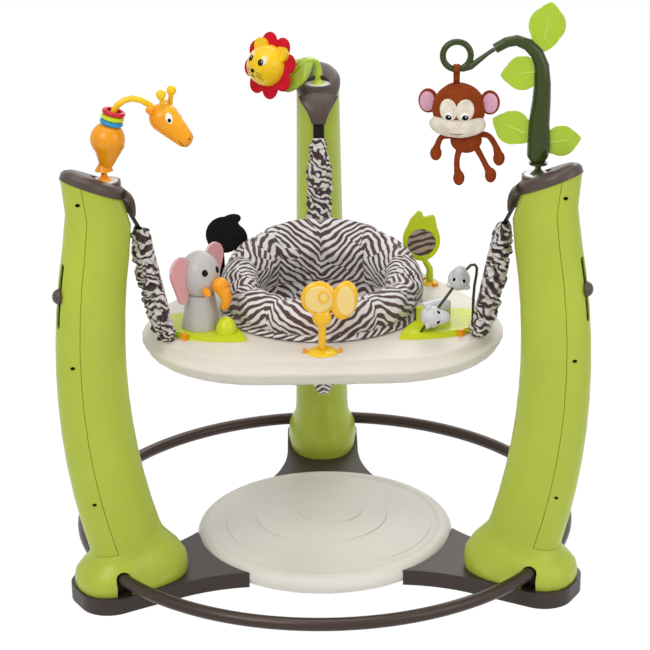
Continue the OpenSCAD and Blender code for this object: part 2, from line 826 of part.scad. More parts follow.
// Release clips of the toys, beside their bases
clip = [9, 6, 12];
module release_clips() {
    color("orange") {
        for (side = [-1, 1])
            at_pod(side) {
                translate([-clip[0] / 2, -base_half(clip[0] / 2) - clip[1] - slide_gap, 0])
                    cube(clip);
                translate([base_l / 2 + slide_gap, -clip[0] / 2, 0])
                    cube([clip[1], clip[0], clip[2]]);
            }
        for (at = [teether_at, mirror_at, dark_leaf_at], side = [-1, 1])
            rotate([0, 0, at[1]])
                translate([at[0] - clip[0] / 2, side * (at[2] + clip[1] / 2 + slide_gap) - clip[1] / 2, tray_z])
                    cube([clip[0], clip[1], clip[2] / 2]);
    }
}

// Elephant: a cone with a round head, ears, trunk and a press button beside it
elephant_x = 6;
elephant_face = 2;
cone_r = 33;
neck_r = 24;
cone_h = 58;
head_w = 34;
head_h = 41;
head_up = base_h + cone_h + 33;
module at_elephant() {
    at_pod(-1)
        translate([elephant_x, 0, slide_gap])
            mirror([1, 0, 0])
                rotate([0, 0, elephant_face])
                    children();
}
module elephant_body() {
    color("silver")
        at_elephant()
            difference() {
                union() {
                    translate([0, 0, base_h])
                        cylinder(r1 = cone_r, r2 = neck_r, h = cone_h);
                    translate([0, 0, head_up])
                        spheroid(head_w, head_h);
                }
                translate([0, 0, base_h - over])
                    cylinder(r = pin_r + pin_gap, h = pin_h + 2 * over);
            }
}
module head_room() {
    translate([0, 0, head_up])
        spheroid(head_w + slide_gap, head_h + slide_gap);
}
ear_l = 84;
ear_w = 50;
ear_t = 5;
ear_out = 72;
module ear_outline(side) {
    hull() {
        translate([side * (ear_out - ear_w / 2), ear_l / 2 - ear_w / 2])
            circle(ear_w / 2);
        translate([side * (ear_out - ear_w + 18), 12 - ear_l / 2])
            circle(12);
    }
}
module elephant_ears() {
    color("pink")
        at_elephant()
            difference() {
                for (side = [-1, 1])
                    translate([-8, 0, head_up])
                        rotate([90, 0, 90])
                            linear_extrude(ear_t)
                                ear_outline(side);
                head_room();
            }
}
trunk_r = 14;
tusk = [[26, -16], [35, -20], [44, -21], [51, -19]];
module elephant_trunk() {
    color("orange")
        at_elephant()
            difference() {
                translate([0, 0, head_up]) {
                    translate([head_w + trunk_r * 0.6, 0, -12]) {
                        sphere(trunk_r);
                        tube_xz([[2, -4], [9, -12], [12, -22], [10, -32], [5, -38]], [12, 11, 9, 7.5, 6], 12);
                    }
                    for (side = [-1, 1])
                        rotate([0, 0, side * 36])
                            tube_xz(tusk, [5, 7, 6, 3.5], 12);
                }
                head_room();
            }
}
egg_h = 26;
module egg_button() {
    color("greenyellow")
        at_pod(-1)
            translate([egg_x, 0, base_h / 2 + over]) {
                cylinder(r = egg_r, h = base_h / 2);
                translate([0, 0, base_h / 2])
                    difference() {
                        spheroid(egg_r, egg_h);
                        translate([0, 0, -egg_h - over])
                            cylinder(r = 2 * egg_r, h = egg_h + over);
                    }
            }
}

// Bead toy: two animal heads on a bent wire, and a drum that spins
bead_wire_r = 2.5;
drum_x = 4;
drum_y = 25;
drum_z = 27;
drum_r = 15;
drum_l = 50;
axle_r = 3;
wire_y = -14;
wire_low = [-51, base_h + 6];
wire_top = [42, 98];
bead_slope = atan2(wire_top[1] - wire_low[1], wire_top[0] - wire_low[0]);
bead_low_at = 24;
bead_high_at = 104;
bead_r = 19;
module bead_wire() {
    path = [[-55, base_h + slide_gap], [-55, base_h + 2.5], wire_low, mix(wire_low, wire_top, 0.5),
        wire_top, [52, 104], [61, 103], [66, 96], [65, 84], [61, 66], [59, 44], [58, base_h + slide_gap]];
    color("darkolivegreen")
        at_pod(1)
            translate([0, wire_y, 0])
                tube_xz(path, [for (p = path) bead_wire_r], 12);
}
module at_wire(distance) {
    at_pod(1)
        translate([wire_low[0], wire_y, wire_low[1]])
            rotate([0, 90 - bead_slope, 0])
                translate([0, 0, distance])
                    children();
}
module bead_head(nose) {
    difference() {
        union() {
            sphere(bead_r);
            rotate(nose)
                translate([0, 0, bead_r * 0.7])
                    egg(bead_r * 0.7, bead_r * 0.55, 8);
        }
        cylinder(r = bead_wire_r + fit_gap, h = 6 * bead_r, center = true);
    }
}
module bead_low() {
    color("gainsboro")
        at_wire(bead_low_at)
            bead_head([60, 0, 30]);
}
module bead_high() {
    color("gainsboro")
        at_wire(bead_high_at)
            bead_head([70, 0, -60]);
}
module bead_drum() {
    color("lavender")
        at_pod(1)
            translate([drum_x - drum_l / 2, drum_y, drum_z])
                rotate([0, 90, 0]) {
                    cylinder(r = drum_r, h = drum_l);
                    translate([0, 0, -5])
                        cylinder(r = axle_r, h = drum_l + 10);
                }
}

// Three single toys on the tray, each on a round foot
foot_h = 5;
// Distance from the middle axis, direction and foot radius of each
teether_at = [seat_r + 66, 269.5, 26];
mirror_at = [seat_r + 74, 30.5, 15];
dark_leaf_at = [seat_r + 72, 143, 15];
module toy_feet() {
    color("gold")
        for (at = [teether_at, mirror_at, dark_leaf_at])
            rotate([0, 0, at[1]])
                translate([at[0], 0, tray_z]) {
                    cylinder(r1 = at[2], r2 = at[2] * 0.7, h = foot_h);
                    translate([0, 0, foot_h - over])
                        cylinder(r = pin_r, h = pin_h + over);
                }
}
module foot_bore() {
    translate([0, 0, foot_h - over])
        cylinder(r = pin_r + pin_gap, h = pin_h + 2 * over);
}
module at_toy(at) {
    translate([at[0] * cos(at[1]), at[0] * sin(at[1]), tray_z + slide_gap])
        children();
}
teether_h = 94;
module pebble(half) {
    turns = [-84:14:84];
    tube_xz([for (q = turns) [0, half[2] * sin(q)]], [for (q = turns) half[0] * cos(q)], 20,
        [for (q = turns) half[1] * cos(q)]);
}
module teether() {
    color("gold")
        at_toy(teether_at)
            difference() {
                union() {
                    translate([0, 0, foot_h])
                        cylinder(r = 6.5, h = teether_h - 40);
                    translate([0, 0, teether_h - 34])
                        pebble([16, 10, 16]);
                    translate([-5, 0, teether_h])
                        pebble([29.5, 8, 29.5]);
                    translate([37, 0, teether_h - 4])
                        rotate([0, 12, 0])
                            pebble([22, 9, 34]);
                }
                foot_bore();
            }
}
mirror_up = 78;
mirror_back = -15;
glass_r = 24.7;
glass_t = 2.5;
module flower_outline() {
    translate([0, 4])
        scale([33, 38] / 38)
            circle(38);
    polygon([[-30, 18], [-20, 42], [-6, 58], [0, 56], [4, 46], [20, 50], [24, 46], [30, 16]]);
}
module mirror_leaf() {
    color("greenyellow")
        at_toy(mirror_at)
            difference() {
                union() {
                    translate([mirror_back, 4, mirror_up])
                        rotate([90, 0, 0])
                            linear_extrude(8)
                                flower_outline();
                    tube_xz([[0, foot_h], [0, 18], [0, 28], [-6, 38], [-10, 46], [-12, 52]],
                        [6.5, 6.5, 6, 5.5, 5, 5], 12);
                }
                foot_bore();
                translate([mirror_back, over - 4 + glass_t, mirror_up])
                    rotate([90, 0, 0])
                        cylinder(r = glass_r + slide_gap, h = 10);
            }
}
module mirror_glass() {
    color("lightsteelblue")
        at_toy(mirror_at)
            translate([mirror_back, over - 4 + glass_t - slide_gap, mirror_up])
                rotate([90, 0, 0])
                    cylinder(r = glass_r, h = glass_t);
}
module dark_leaf() {
    color("black")
        at_toy(dark_leaf_at)
            difference() {
                union() {
                    translate([8, 4, 92])
                        rotate([90, 0, 0])
                            linear_extrude(8) {
                                circle(34);
                                translate([28, -6])
                                    circle(20);
                                translate([6, 26])
                                    rotate(35)
                                        scale([1, 0.5])
                                            circle(26);
                            }
                    translate([0, 0, foot_h])
                        cylinder(r = 6.5, h = 60);
                }
                foot_bore();
            }
}

// Stems of the tall toys: a level plate in the cap's collar, a neck and a pin for the toy to turn on
module toy_stems() {
    color("orange")
        for (az = towers)
            at_socket(az) {
                translate([0, 0, -plate_t])
                    cylinder(r = dish_r, h = plate_t);
                cylinder(r1 = 2.6 * stem_r, r2 = stem_r, h = stem_h / 2);
                cylinder(r = stem_r, h = stem_h);
                cylinder(r = pin_r, h = stem_h + pin_h);
            }
}

// Giraffe: a bulb with three loose rings on its neck
bulb_z = 68;
neck_lean = 15;
neck_r_tube = 5.3;
ring_tube_r = 4;
loose_r = 15;
ring_first = sqrt(pow(bulb_r + ring_tube_r + slide_gap, 2) - pow(loose_r, 2));
ring_step = 2 * ring_tube_r + slide_gap;
bulb_x = 8;
module giraffe_bulb() {
    color("orange")
        at_socket(towers[0])
            difference() {
                union() {
                    translate([bulb_x, 0, bulb_z])
                        sphere(bulb_r);
                    rotate([0, atan2(bulb_x, bulb_z - toy_z), 0])
                        translate([0, 0, toy_z + 4])
                            cylinder(r1 = 9, r2 = bulb_r * 0.93, h = bulb_z - toy_z - 12);
                    translate([0, 0, toy_z])
                        cylinder(r1 = 15, r2 = 8, h = 12);
                }
                pin_bore();
            }
}
neck_path = concat([for (d = [20, 50]) [bulb_x + d * sin(neck_lean), bulb_z + d * cos(neck_lean)]],
    [for (p = [[19, 56], [29, 63], [42, 66], [56, 63], [69, 55], [80, 45]]) [bulb_x + p[0], bulb_z + p[1]]]);
module giraffe_neck() {
    color("gold")
        at_socket(towers[0])
            difference() {
                tube_xz(neck_path, [for (p = neck_path) neck_r_tube], 12);
                translate([bulb_x, 0, bulb_z])
                    sphere(bulb_r + slide_gap);
            }
}
module giraffe_ring(k) {
    at_socket(towers[0])
        translate([bulb_x, 0, bulb_z])
            rotate([0, neck_lean, 0])
                translate([0, 0, ring_first + k * ring_step])
                    rotate_extrude()
                        translate([loose_r, 0])
                            intersection() {
                                circle(ring_tube_r);
                                translate([-0.8 * ring_tube_r, -ring_tube_r])
                                    square(2 * ring_tube_r);
                            }
}
module giraffe_ring_low() {
    color("deepskyblue")
        giraffe_ring(0);
}
module giraffe_ring_middle() {
    color("greenyellow")
        giraffe_ring(1);
}
module giraffe_ring_high() {
    color("crimson")
        giraffe_ring(2);
}
giraffe_head_at = [bulb_x + 91, bulb_z + 34];
face_lean = 128;
face_yaw = -30;
module giraffe_head() {
    color("orange")
        at_socket(towers[0])
            translate([giraffe_head_at[0], 0, giraffe_head_at[1]])
                difference() {
                    rotate([0, 0, face_yaw]) {
                        rotate([0, face_lean, 0])
                            egg(24, 15, 46);
                        for (side = [-1, 1]) {
                            translate([6, side * 10, 18])
                                rotate([side * -12, 0, 0]) {
                                    cylinder(r = 4, h = 22);
                                    translate([0, 0, 24])
                                        sphere(8);
                                }
                            translate([-10, side * 22, 14])
                                rotate([side * -50, -20, 0])
                                    scale([0.6, 0.5, 1])
                                        sphere(11);
                        }
                    }
                    translate([-giraffe_head_at[0], 0, -giraffe_head_at[1]])
                        tube_xz(neck_path, [for (p = neck_path) neck_r_tube + slide_gap], 12);
                }
}

// Lion: a petal mane with a round face, on an arched leaf stalk
lion_at = [-86, -22, 40];
lion_yaw = -41;
lion_tip = 14;
lion_roll = -11;
petals = 8;
mane_t = 7;
module turn_lion() {
    rotate([0, 0, lion_yaw])
        rotate([90 - lion_tip, 0, 0])
            rotate([0, 0, lion_roll])
                children();
}
module at_lion() {
    at_socket(towers[2])
        translate(lion_at)
            turn_lion()
                children();
}
module lion_stalk() {
    color("yellowgreen")
        at_socket(towers[2])
            difference() {
                union() {
                    translate([0, 0, toy_z])
                        cylinder(r1 = 9, r2 = 7, h = 14);
                    rotate([0, 0, 14])
                        tube_xz([[0, toy_z + 4], [0, 30], [-3, 40], [-11, 46], [-24, 46],
                            [-38, 38], [-52, 24], [-63, 8], [-70, -6]],
                            [7, 6.5, 6, 5, 4, 3.5, 3.5, 3, 2.5], 16, [7, 6.5, 7.5, 10, 14, 17.5, 17, 12, 4]);
                    rotate([0, 0, 14])
                        tube_xz([[-30, 42], [-50, 41], [-90, 38]], [7, 6, 6], 12);
                }
                pin_bore();
                translate(lion_at)
                    turn_lion()
                        translate([0, 0, -slide_gap])
                            cylinder(r = mane_r, h = mane_r);
            }
}
module lion_mane() {
    petal_r = mane_r * 0.3;
    color("crimson")
        at_lion()
            linear_extrude(mane_t) {
                circle(mane_r - petal_r);
                for (k = [0:petals - 1])
                    rotate(360 * (k + 0.5) / petals)
                        translate([mane_r - petal_r, 0])
                            circle(petal_r);
            }
}
face_r = 38.5;
face_bulge = 42;
module lion_face() {
    color("gold")
        at_lion()
            translate([0, 0, mane_t + slide_gap]) {
                difference() {
                    spheroid(face_r, face_bulge);
                    translate([0, 0, -face_bulge - over])
                        cylinder(r = 2 * face_r, h = face_bulge + over);
                }
                for (side = [-1, 1])
                    translate([side * 26, 30, 0])
                        cylinder(r = 14, h = 9);
            }
}

// Vine: a stalk that bends over, its leaves, and a link that ends in a ring
stalk_path = [[0, toy_z], [0, toy_z + 5], [-1, 30], [0, 48], [0, 84], [3, 120], [4, 150], [2, 178],
    [-6, 198], [-20, 212], [-38, 219], [-54, 216], [-72, 206]];
stalk_radii = [10, 12, 17.5, 18.5, 17, 15, 13.5, 12, 11, 10, 9, 8.5, 8];
link_path = [[-72.5, 205.7], [-84, 198], [-97, 188], [-110, 178], [-124, 174]];
link_radii = [3.5, 3.5, 4.5, 5.5, 5];
loop_at = [-132, 196];
loop_tube_r = 5;
module vine_stalk() {
    color("darkolivegreen")
        at_socket(towers[1])
            difference() {
                union() {
                    tube_xz(stalk_path, stalk_radii, 14);
                    translate([0, 0, toy_z])
                        cylinder(r = 15, h = 3);
                }
                pin_bore();
            }
}
module vine_link() {
    color("darkolivegreen")
        at_socket(towers[1]) {
            tube_xz(link_path, link_radii, 12);
            translate([loop_at[0], 0, loop_at[1]])
                rotate([90, 0, 0])
                    rotate_extrude()
                        translate([loop_r, 0])
                            circle(loop_tube_r);
        }
}
// Leaves of the vine: where each sits on the stalk's plane, its turn and its half length
leaf_spots = [[10, 246, 80, 34], [-31, 166, 186, 32], [-45, 79, 156, 32], [39, 55, 8, 29]];
leaf_t = 4;
module vine_leaves() {
    color("greenyellow")
        at_socket(towers[1])
            difference() {
                for (s = leaf_spots)
                    translate([s[0], leaf_t / 2, s[1]])
                        rotate([90, 0, 0])
                            linear_extrude(leaf_t)
                                rotate(s[2]) {
                                    translate([-0.1 * s[3], 0])
                                        circle(0.86 * s[3]);
                                    translate([-0.2 * s[3], 0])
                                        leaf_outline(2.4 * s[3], 1.5 * s[3]);
                                }
                tube_xz(stalk_path, [for (r = stalk_radii) r + slide_gap], 14);
            }
}

// Monkey: a stuffed toy that hangs from the ring by its strap
hang_at = [loop_at[0], loop_at[1] - loop_r - loop_tube_r];
tie_l = 17;
monkey_r = monkey_h / 2;
module at_monkey() {
    at_socket(towers[1])
        translate([hang_at[0], 0, hang_at[1]])
            children();
}
monkey_head_z = -tie_l - monkey_r;
module monkey_head() {
    color("sienna")
        at_monkey()
            translate([0, 0, monkey_head_z])
                rotate([90, 0, 0]) {
                    spheroid(monkey_r, 0.84 * monkey_r);
                    for (side = [-1, 1])
                        translate([side * monkey_r * 1.16, 8, -2])
                            spheroid(17, 6);
                }
}
body_r = 24;
body_x = 7;
module monkey_head_room() {
    translate([0, 0, monkey_head_z])
        rotate([90, 0, 0])
            spheroid(monkey_r + slide_gap, 0.84 * monkey_r + slide_gap);
}
monkey_body_z = monkey_head_z - monkey_r - 15;
module monkey_body() {
    color("sienna")
        at_monkey()
            difference() {
                translate([body_x, 0, monkey_body_z])
                    rotate([90, 0, 0])
                        spheroid(body_r, 0.8 * body_r);
                monkey_head_room();
            }
}
limbs = [[[-14, 4], [-26, -4], [-32, -18], [-34, -32]], [[26, 6], [40, -2], [50, -16], [54, -30]],
    [[-1, -18], [-5, -32], [-6, -46], [-4, -60]], [[16, -17], [24, -32], [32, -44], [37, -56]]];
limb_radii = [5, 4.6, 5.5, 9];
module monkey_limbs() {
    color("sienna")
        at_monkey()
            difference() {
                for (path = limbs)
                    translate([0, 0, monkey_body_z]) {
                        tube_xz(path, limb_radii, 10);
                        translate([path[3][0], 0, path[3][1] - 3])
                            spheroid(limb_radii[3] + 0.4, limb_radii[3] + 1.4);
                    }
                translate([body_x, 0, monkey_body_z])
                    rotate([90, 0, 0])
                        spheroid(body_r + slide_gap, 0.8 * body_r + slide_gap);
                monkey_head_room();
            }
}
tie_w = 10;
tie_t = 2;
tie_gap = 0.95;
module monkey_tie() {
    r = loop_tube_r + tie_gap;
    color("saddlebrown")
        at_monkey()
            translate([-tie_w / 2, 0, loop_tube_r])
                rotate([90, 0, 90])
                    linear_extrude(tie_w)
                        difference() {
                            union() {
                                circle(r + tie_t);
                                translate([-tie_t, -loop_tube_r - tie_l + slide_gap])
                                    square([2 * tie_t, tie_l]);
                            }
                            circle(r);
                        }
}

base_pad();
base_legs();
base_ring();
tower_inner(towers[0]);  // tower_inner_left
tower_inner(towers[1]);  // tower_inner_right
tower_inner(towers[2]);  // tower_inner_back
tower_covers();
frame_screws();
tower_cap(towers[0]);  // tower_cap_left
tower_cap(towers[1]);  // tower_cap_right
tower_cap(towers[2]);  // tower_cap_back
strap_bars();
toy_stems();
height_knob(towers[0]);  // height_knob_left
height_knob(towers[1]);  // height_knob_right
height_knob(towers[2]);  // height_knob_back
spring_hangers();
strap_webbing();
springs();
spring_covers();
tray_top();
tray_base();
tray_anchors();
tray_screws();
seat_ring();
seat_pad();
seat_sling();
sling_floor();
elephant_base();
bead_base();
release_clips();
elephant_body();
elephant_ears();
elephant_trunk();
egg_button();
bead_wire();
bead_low();
bead_high();
bead_drum();
toy_feet();
teether();
mirror_leaf();
mirror_glass();
dark_leaf();
giraffe_bulb();
giraffe_neck();
giraffe_head();
giraffe_ring_low();
giraffe_ring_middle();
giraffe_ring_high();
lion_stalk();
lion_mane();
lion_face();
vine_stalk();
vine_link();
vine_leaves();
monkey_head();
monkey_body();
monkey_limbs();
monkey_tie();
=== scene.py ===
import math

import bmesh
import bpy
import numpy as np
from mathutils import Matrix, Quaternion, Vector, noise


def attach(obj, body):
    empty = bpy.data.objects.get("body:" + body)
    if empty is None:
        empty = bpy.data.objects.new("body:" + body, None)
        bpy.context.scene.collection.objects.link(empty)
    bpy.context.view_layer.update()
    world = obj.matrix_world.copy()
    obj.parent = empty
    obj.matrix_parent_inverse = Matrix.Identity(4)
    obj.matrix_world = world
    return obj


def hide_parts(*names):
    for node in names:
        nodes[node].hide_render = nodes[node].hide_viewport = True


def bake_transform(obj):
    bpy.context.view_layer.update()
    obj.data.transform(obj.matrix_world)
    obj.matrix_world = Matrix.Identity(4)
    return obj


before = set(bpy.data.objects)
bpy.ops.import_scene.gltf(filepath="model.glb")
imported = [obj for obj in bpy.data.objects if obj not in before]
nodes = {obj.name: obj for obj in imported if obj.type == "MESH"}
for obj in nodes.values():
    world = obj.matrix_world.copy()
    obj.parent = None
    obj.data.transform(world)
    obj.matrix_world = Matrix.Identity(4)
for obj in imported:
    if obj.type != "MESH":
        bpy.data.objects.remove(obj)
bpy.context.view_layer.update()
scene = bpy.context.scene

# Sizes are in millimetres, as on the part, and become metres in mesh(). Looks are in metres
MM = 0.001
TOWERS = {"left": 210, "right": 330, "back": 90}
TRAY_Z = 445


def polar(az, r, y, z):
    """Point of a tower's own plane (r out, y across, z up) in the frame of the part."""
    a = math.radians(az)
    return np.array((r * math.cos(a) - y * math.sin(a), r * math.sin(a) + y * math.cos(a), z))


def mix(a, b, u):
    return a + (b - a) * u


def unit(v):
    return v / np.linalg.norm(v)


def round_turns(count):
    """Angles that go once round, in equal steps."""
    return [math.tau * k / count for k in range(count)]


def frame_at(place, *turns):
    """Frame of a toy in millimetres: its place, then turns in degrees about its own axes."""
    made = Matrix.Translation(place)
    for degrees, axis in turns:
        made = made @ Matrix.Rotation(math.radians(degrees), 4, axis)
    return made


def inside(own, point):
    """Point of a toy's frame in the frame of the part."""
    return np.array(own @ Vector(point))


def turned(own, way):
    """Direction of a toy's frame in the frame of the part."""
    return np.array(own.to_3x3() @ Vector(way))


# Middle of the toy plate on each tower
SOCKETS = {"left": (-347.7, -200.8, 740.67), "right": (347.7, -200.8, 740.67), "back": (0.0, 401.5, 740.67)}


def socket(side, x, y, z):
    """Place beside a tower's toy plate."""
    return tuple(np.add(SOCKETS[side], (x, y, z)))


# The giraffe's muzzle lies along +Z of its frame and its crown along -X
GIRAFFE = frame_at(socket("left", 99, 0, 102), (-30, "Z"), (128, "Y"))


# Camera and lights, in metres
CAMERA_AT = (-0.0242, -3.6418, 1.7784)
CAMERA_AIM = (0, 0, 0.4116)
CAMERA_ROLL = -0.72
LAMP_AIM = (0, 0, 0.45)
LAMPS = (("key", (-1.9, -2.7, 2.9), 2.2, 60), ("fill", (2.5, -2.0, 1.7), 2.4, 25),
         ("back", (0.8, 2.7, 2.5), 2.0, 26), ("top", (0.0, -0.2, 3.3), 2.6, 30))


def camera():
    data = bpy.data.cameras.new("photo_camera")
    data.lens = 123.8
    data.sensor_width = 36
    data.shift_x = 0.0041
    eye = bpy.data.objects.new("photo_camera", data)
    scene.collection.objects.link(eye)
    eye.location = CAMERA_AT
    aim = Vector(CAMERA_AIM) - eye.location
    roll = Quaternion((0, 0, 1), math.radians(CAMERA_ROLL))
    eye.rotation_euler = (aim.to_track_quat("-Z", "Y") @ roll).to_euler()
    scene.camera = eye


def lamp(name, place, size, watts):
    data = bpy.data.lights.new(name, "AREA")
    data.shape = "DISK"
    data.size = size
    data.energy = watts
    light = bpy.data.objects.new(name, data)
    light.location = place
    aim = Vector(LAMP_AIM) - light.location
    light.rotation_euler = aim.to_track_quat("-Z", "Y").to_euler()
    scene.collection.objects.link(light)


# Materials
def colour(rgb, shade=1.0):
    """Linear colour of an sRGB triple from 0 to 255, made lighter or darker."""
    linear = [((c / 255 + 0.055) / 1.055) ** 2.4 if c > 10 else c / 3295 for c in rgb]
    return tuple(min(1.0, c * shade) for c in linear) + (1.0,)


def give(tree, target, value):
    """Links an output to an input, or sets the input to a plain value."""
    if isinstance(value, bpy.types.NodeSocket):
        tree.links.new(value, target)
    else:
        target.default_value = value


def put(tree, kind, values=None, **settings):
    """Adds a shader node, with its settings and with values or links on its inputs."""
    made = tree.nodes.new("ShaderNode" + kind)
    for key, value in settings.items():
        setattr(made, key, value)
    for key, value in (values or {}).items():
        give(tree, made.inputs[key], value)
    return made


def ramp(tree, factor, stops):
    made = put(tree, "ValToRGB", {"Fac": factor})
    points = made.color_ramp.elements
    while len(points) < len(stops):
        points.new(0.5)
    for point, (place, value) in zip(points, stops):
        point.position = place
        point.color = value
    return made.outputs["Color"]


def math_node(tree, operation, *values):
    return put(tree, "Math", dict(enumerate(values)), operation=operation).outputs[0]


def join(tree, bsdf, **values):
    """Sets or links the shader's inputs, with underscores for the spaces in their names."""
    for key, value in values.items():
        give(tree, bsdf.inputs[key.replace("_", " ")], value)


def speckle(tree, place, scale, detail=2.0, **more):
    """Noise over a place, from 0 to 1."""
    return put(tree, "TexNoise", {"Vector": place, "Scale": scale, "Detail": detail, **more}).outputs["Fac"]


def to_range(tree, value, low, high):
    """Takes a value from 0 to 1 to the range from low to high."""
    return put(tree, "MapRange", {"Value": value, "To Min": low, "To Max": high}).outputs[0]


def share_between(tree, value, low, high):
    """Share, from 0 to 1, of the way that a value has gone from low to high."""
    return put(tree, "MapRange", {"Value": value, "From Min": low, "From Max": high}).outputs[0]


def two_tone(tree, share, first, second):
    return put(tree, "Mix", {0: share, 6: first, 7: second}, data_type="RGBA").outputs[2]


def raised(tree, height, strength, distance, **more):
    """Normal of a surface with a small height of its own."""
    values = {"Height": height, "Strength": strength, "Distance": distance, **more}
    return put(tree, "Bump", values).outputs["Normal"]


def plastic(tree, bsdf, coords, rgb, rough=0.3, grain=0.05, clear=0.0, shine=0.32):
    """Moulded plastic: a cloudy tone, fine grain in the gloss and softened edges."""
    place = coords["Object"]
    cloud = speckle(tree, place, 6.0, 3.0)
    speck = speckle(tree, place, 850.0)
    tone = ramp(tree, cloud, [(0.3, colour(rgb, 0.95)), (0.7, colour(rgb, 1.05))])
    edge = put(tree, "Bevel", {"Radius": 0.0008}, samples=4).outputs["Normal"]
    join(tree, bsdf, Base_Color=tone, Roughness=to_range(tree, speck, rough - 0.05, rough + 0.07),
         Normal=raised(tree, speck, grain, 0.0005, Normal=edge), Specular_IOR_Level=shine)
    if clear:
        join(tree, bsdf, Subsurface_Weight=clear, Subsurface_Radius=(0.006, 0.006, 0.003), Coat_Weight=0.4,
             Coat_Roughness=0.08)


def metal(tree, bsdf, coords, rgb, rough=0.3, metallic=1.0):
    """Coated or bare metal with fine flecks and a cloudy gloss."""
    place = coords["Object"]
    cloud = speckle(tree, place, 40.0, 4.0)
    fleck = speckle(tree, place, 1500.0, 1.0)
    tone = ramp(tree, fleck, [(0.35, colour(rgb, 0.8)), (0.7, colour(rgb, 1.25))])
    join(tree, bsdf, Base_Color=tone, Roughness=to_range(tree, cloud, rough - 0.06, rough + 0.08),
         Normal=raised(tree, fleck, 0.06, 0.0003), Metallic=metallic)


def weave(tree, place, thread=0.0007, strength=0.35):
    """Normal of a plain weave whose threads lie along the first two coordinates."""
    step = math.tau / thread
    across = put(tree, "SeparateXYZ", {0: place}).outputs
    warp = math_node(tree, "SINE", math_node(tree, "MULTIPLY", across[0], step))
    weft = math_node(tree, "SINE", math_node(tree, "MULTIPLY", across[1], step))
    return raised(tree, math_node(tree, "MULTIPLY", warp, weft), strength, 0.0002)


ZEBRA_DARK = (84, 61, 63)
ZEBRA_LIGHT = (232, 229, 226)


def zebra(tree, bsdf, coords, period=0.0158, slope=0.75, wander=0.036,
          shades=(ZEBRA_DARK, ZEBRA_LIGHT), on="cloth"):
    """Zebra stripes that wander and fork, over a cloth's flat coordinates, or upright on the mirror's glass
    as a painted reflection.
    """
    card = on == "card"
    flat = coords["Object" if card else "UV"]
    field = coords["UV" if on == "gathered" else "Object"]
    along = put(tree, "SeparateXYZ", {0: flat}).outputs
    drift = speckle(tree, field, 17.0)
    ripple = speckle(tree, field, 48.0, 1.0)
    split = speckle(tree, field, 42.0, 1.0)
    fork = speckle(tree, field, 21.0, 0.0)
    fray = speckle(tree, flat, 420.0, 1.0)
    slant = math_node(tree, "MULTIPLY_ADD", along[0], slope, along[2 if card else 1])
    wavy = math_node(tree, "MULTIPLY_ADD", drift, wander, slant)
    wavy = math_node(tree, "MULTIPLY_ADD", ripple, 0.007, wavy)
    step = math.tau / period
    wide_turn = math_node(tree, "SINE", math_node(tree, "MULTIPLY", wavy, step))
    close_turn = math_node(tree, "SINE", math_node(tree, "MULTIPLY", wavy, step * 1.15))
    change = share_between(tree, fork, 0.49, 0.51)
    turn = put(tree, "Mix", {0: change, 2: wide_turn, 3: close_turn}).outputs[0]
    width = math_node(tree, "MULTIPLY_ADD", split, 1.9, -0.98)
    rough_edge = math_node(tree, "MULTIPLY_ADD", fray, 0.2, -0.1)
    level = math_node(tree, "ADD", math_node(tree, "ADD", turn, width), rough_edge)
    part = share_between(tree, level, -0.22, 0.22)
    tone = ramp(tree, part, [(0.0, colour(shades[0])), (1.0, colour(shades[1]))])
    join(tree, bsdf, Base_Color=tone, Normal=weave(tree, flat), Sheen_Roughness=0.4, Coat_Roughness=0.04)
    # The mirror's painted reflection sits under a glossy coat
    if card:
        join(tree, bsdf, Roughness=0.32, Coat_Weight=1.0)
    else:
        join(tree, bsdf, Roughness=0.82, Sheen_Weight=0.2)


def plush(tree, bsdf, coords, rgb, pile=0.5, size=420.0):
    """Short napped cloth: clumps of pile in colour and height, with a soft sheen."""
    place = coords["Object"]
    clump = speckle(tree, place, 60.0, 4.0)
    nap = speckle(tree, place, size, 4.0, Roughness=0.7)
    both = math_node(tree, "MULTIPLY_ADD", nap, 0.6, math_node(tree, "MULTIPLY", clump, 0.4))
    tone = ramp(tree, both, [(0.35, colour(rgb, 0.72)), (0.65, colour(rgb, 1.22))])
    join(tree, bsdf, Base_Color=tone, Normal=raised(tree, both, pile, 0.0025), Roughness=0.95,
         Specular_IOR_Level=0.15, Sheen_Weight=0.35, Sheen_Roughness=0.5, Sheen_Tint=colour(rgb, 1.6))


def webbing(tree, bsdf, coords, rgb):
    """Flat woven strap, along the mesh's flat coordinates."""
    flat = coords["UV"]
    fibre = speckle(tree, flat, 900.0)
    tone = ramp(tree, fibre, [(0.3, colour(rgb, 0.7)), (0.7, colour(rgb, 1.5))])
    join(tree, bsdf, Base_Color=tone, Normal=weave(tree, flat, 0.0016, 0.7), Roughness=0.6,
         Specular_IOR_Level=0.15)


def grained(tree, bsdf, place, tone, rough_low, rough_high):
    """Plastic whose tone is mixed already, with fine grain in its gloss and height."""
    grain = speckle(tree, place, 700.0)
    join(tree, bsdf, Base_Color=tone, Roughness=to_range(tree, grain, rough_low, rough_high),
         Normal=raised(tree, grain, 0.05, 0.0005))


def stem_colours(tree, bsdf, coords):
    """Plastic of the three toy stems: each in its toy's colour, on a white plate."""
    place = coords["Object"]
    at = put(tree, "SeparateXYZ", {0: place}).outputs
    left = math_node(tree, "LESS_THAN", at[0], -0.2)
    right = math_node(tree, "GREATER_THAN", at[0], 0.2)
    plate = math_node(tree, "LESS_THAN", at[2], 0.7409)
    tone = two_tone(tree, left, colour((186, 206, 50)), colour((246, 160, 28)))
    tone = two_tone(tree, right, tone, colour((58, 72, 24)))
    tone = two_tone(tree, plate, tone, colour((232, 230, 226)))
    grained(tree, bsdf, place, tone, 0.2, 0.32)


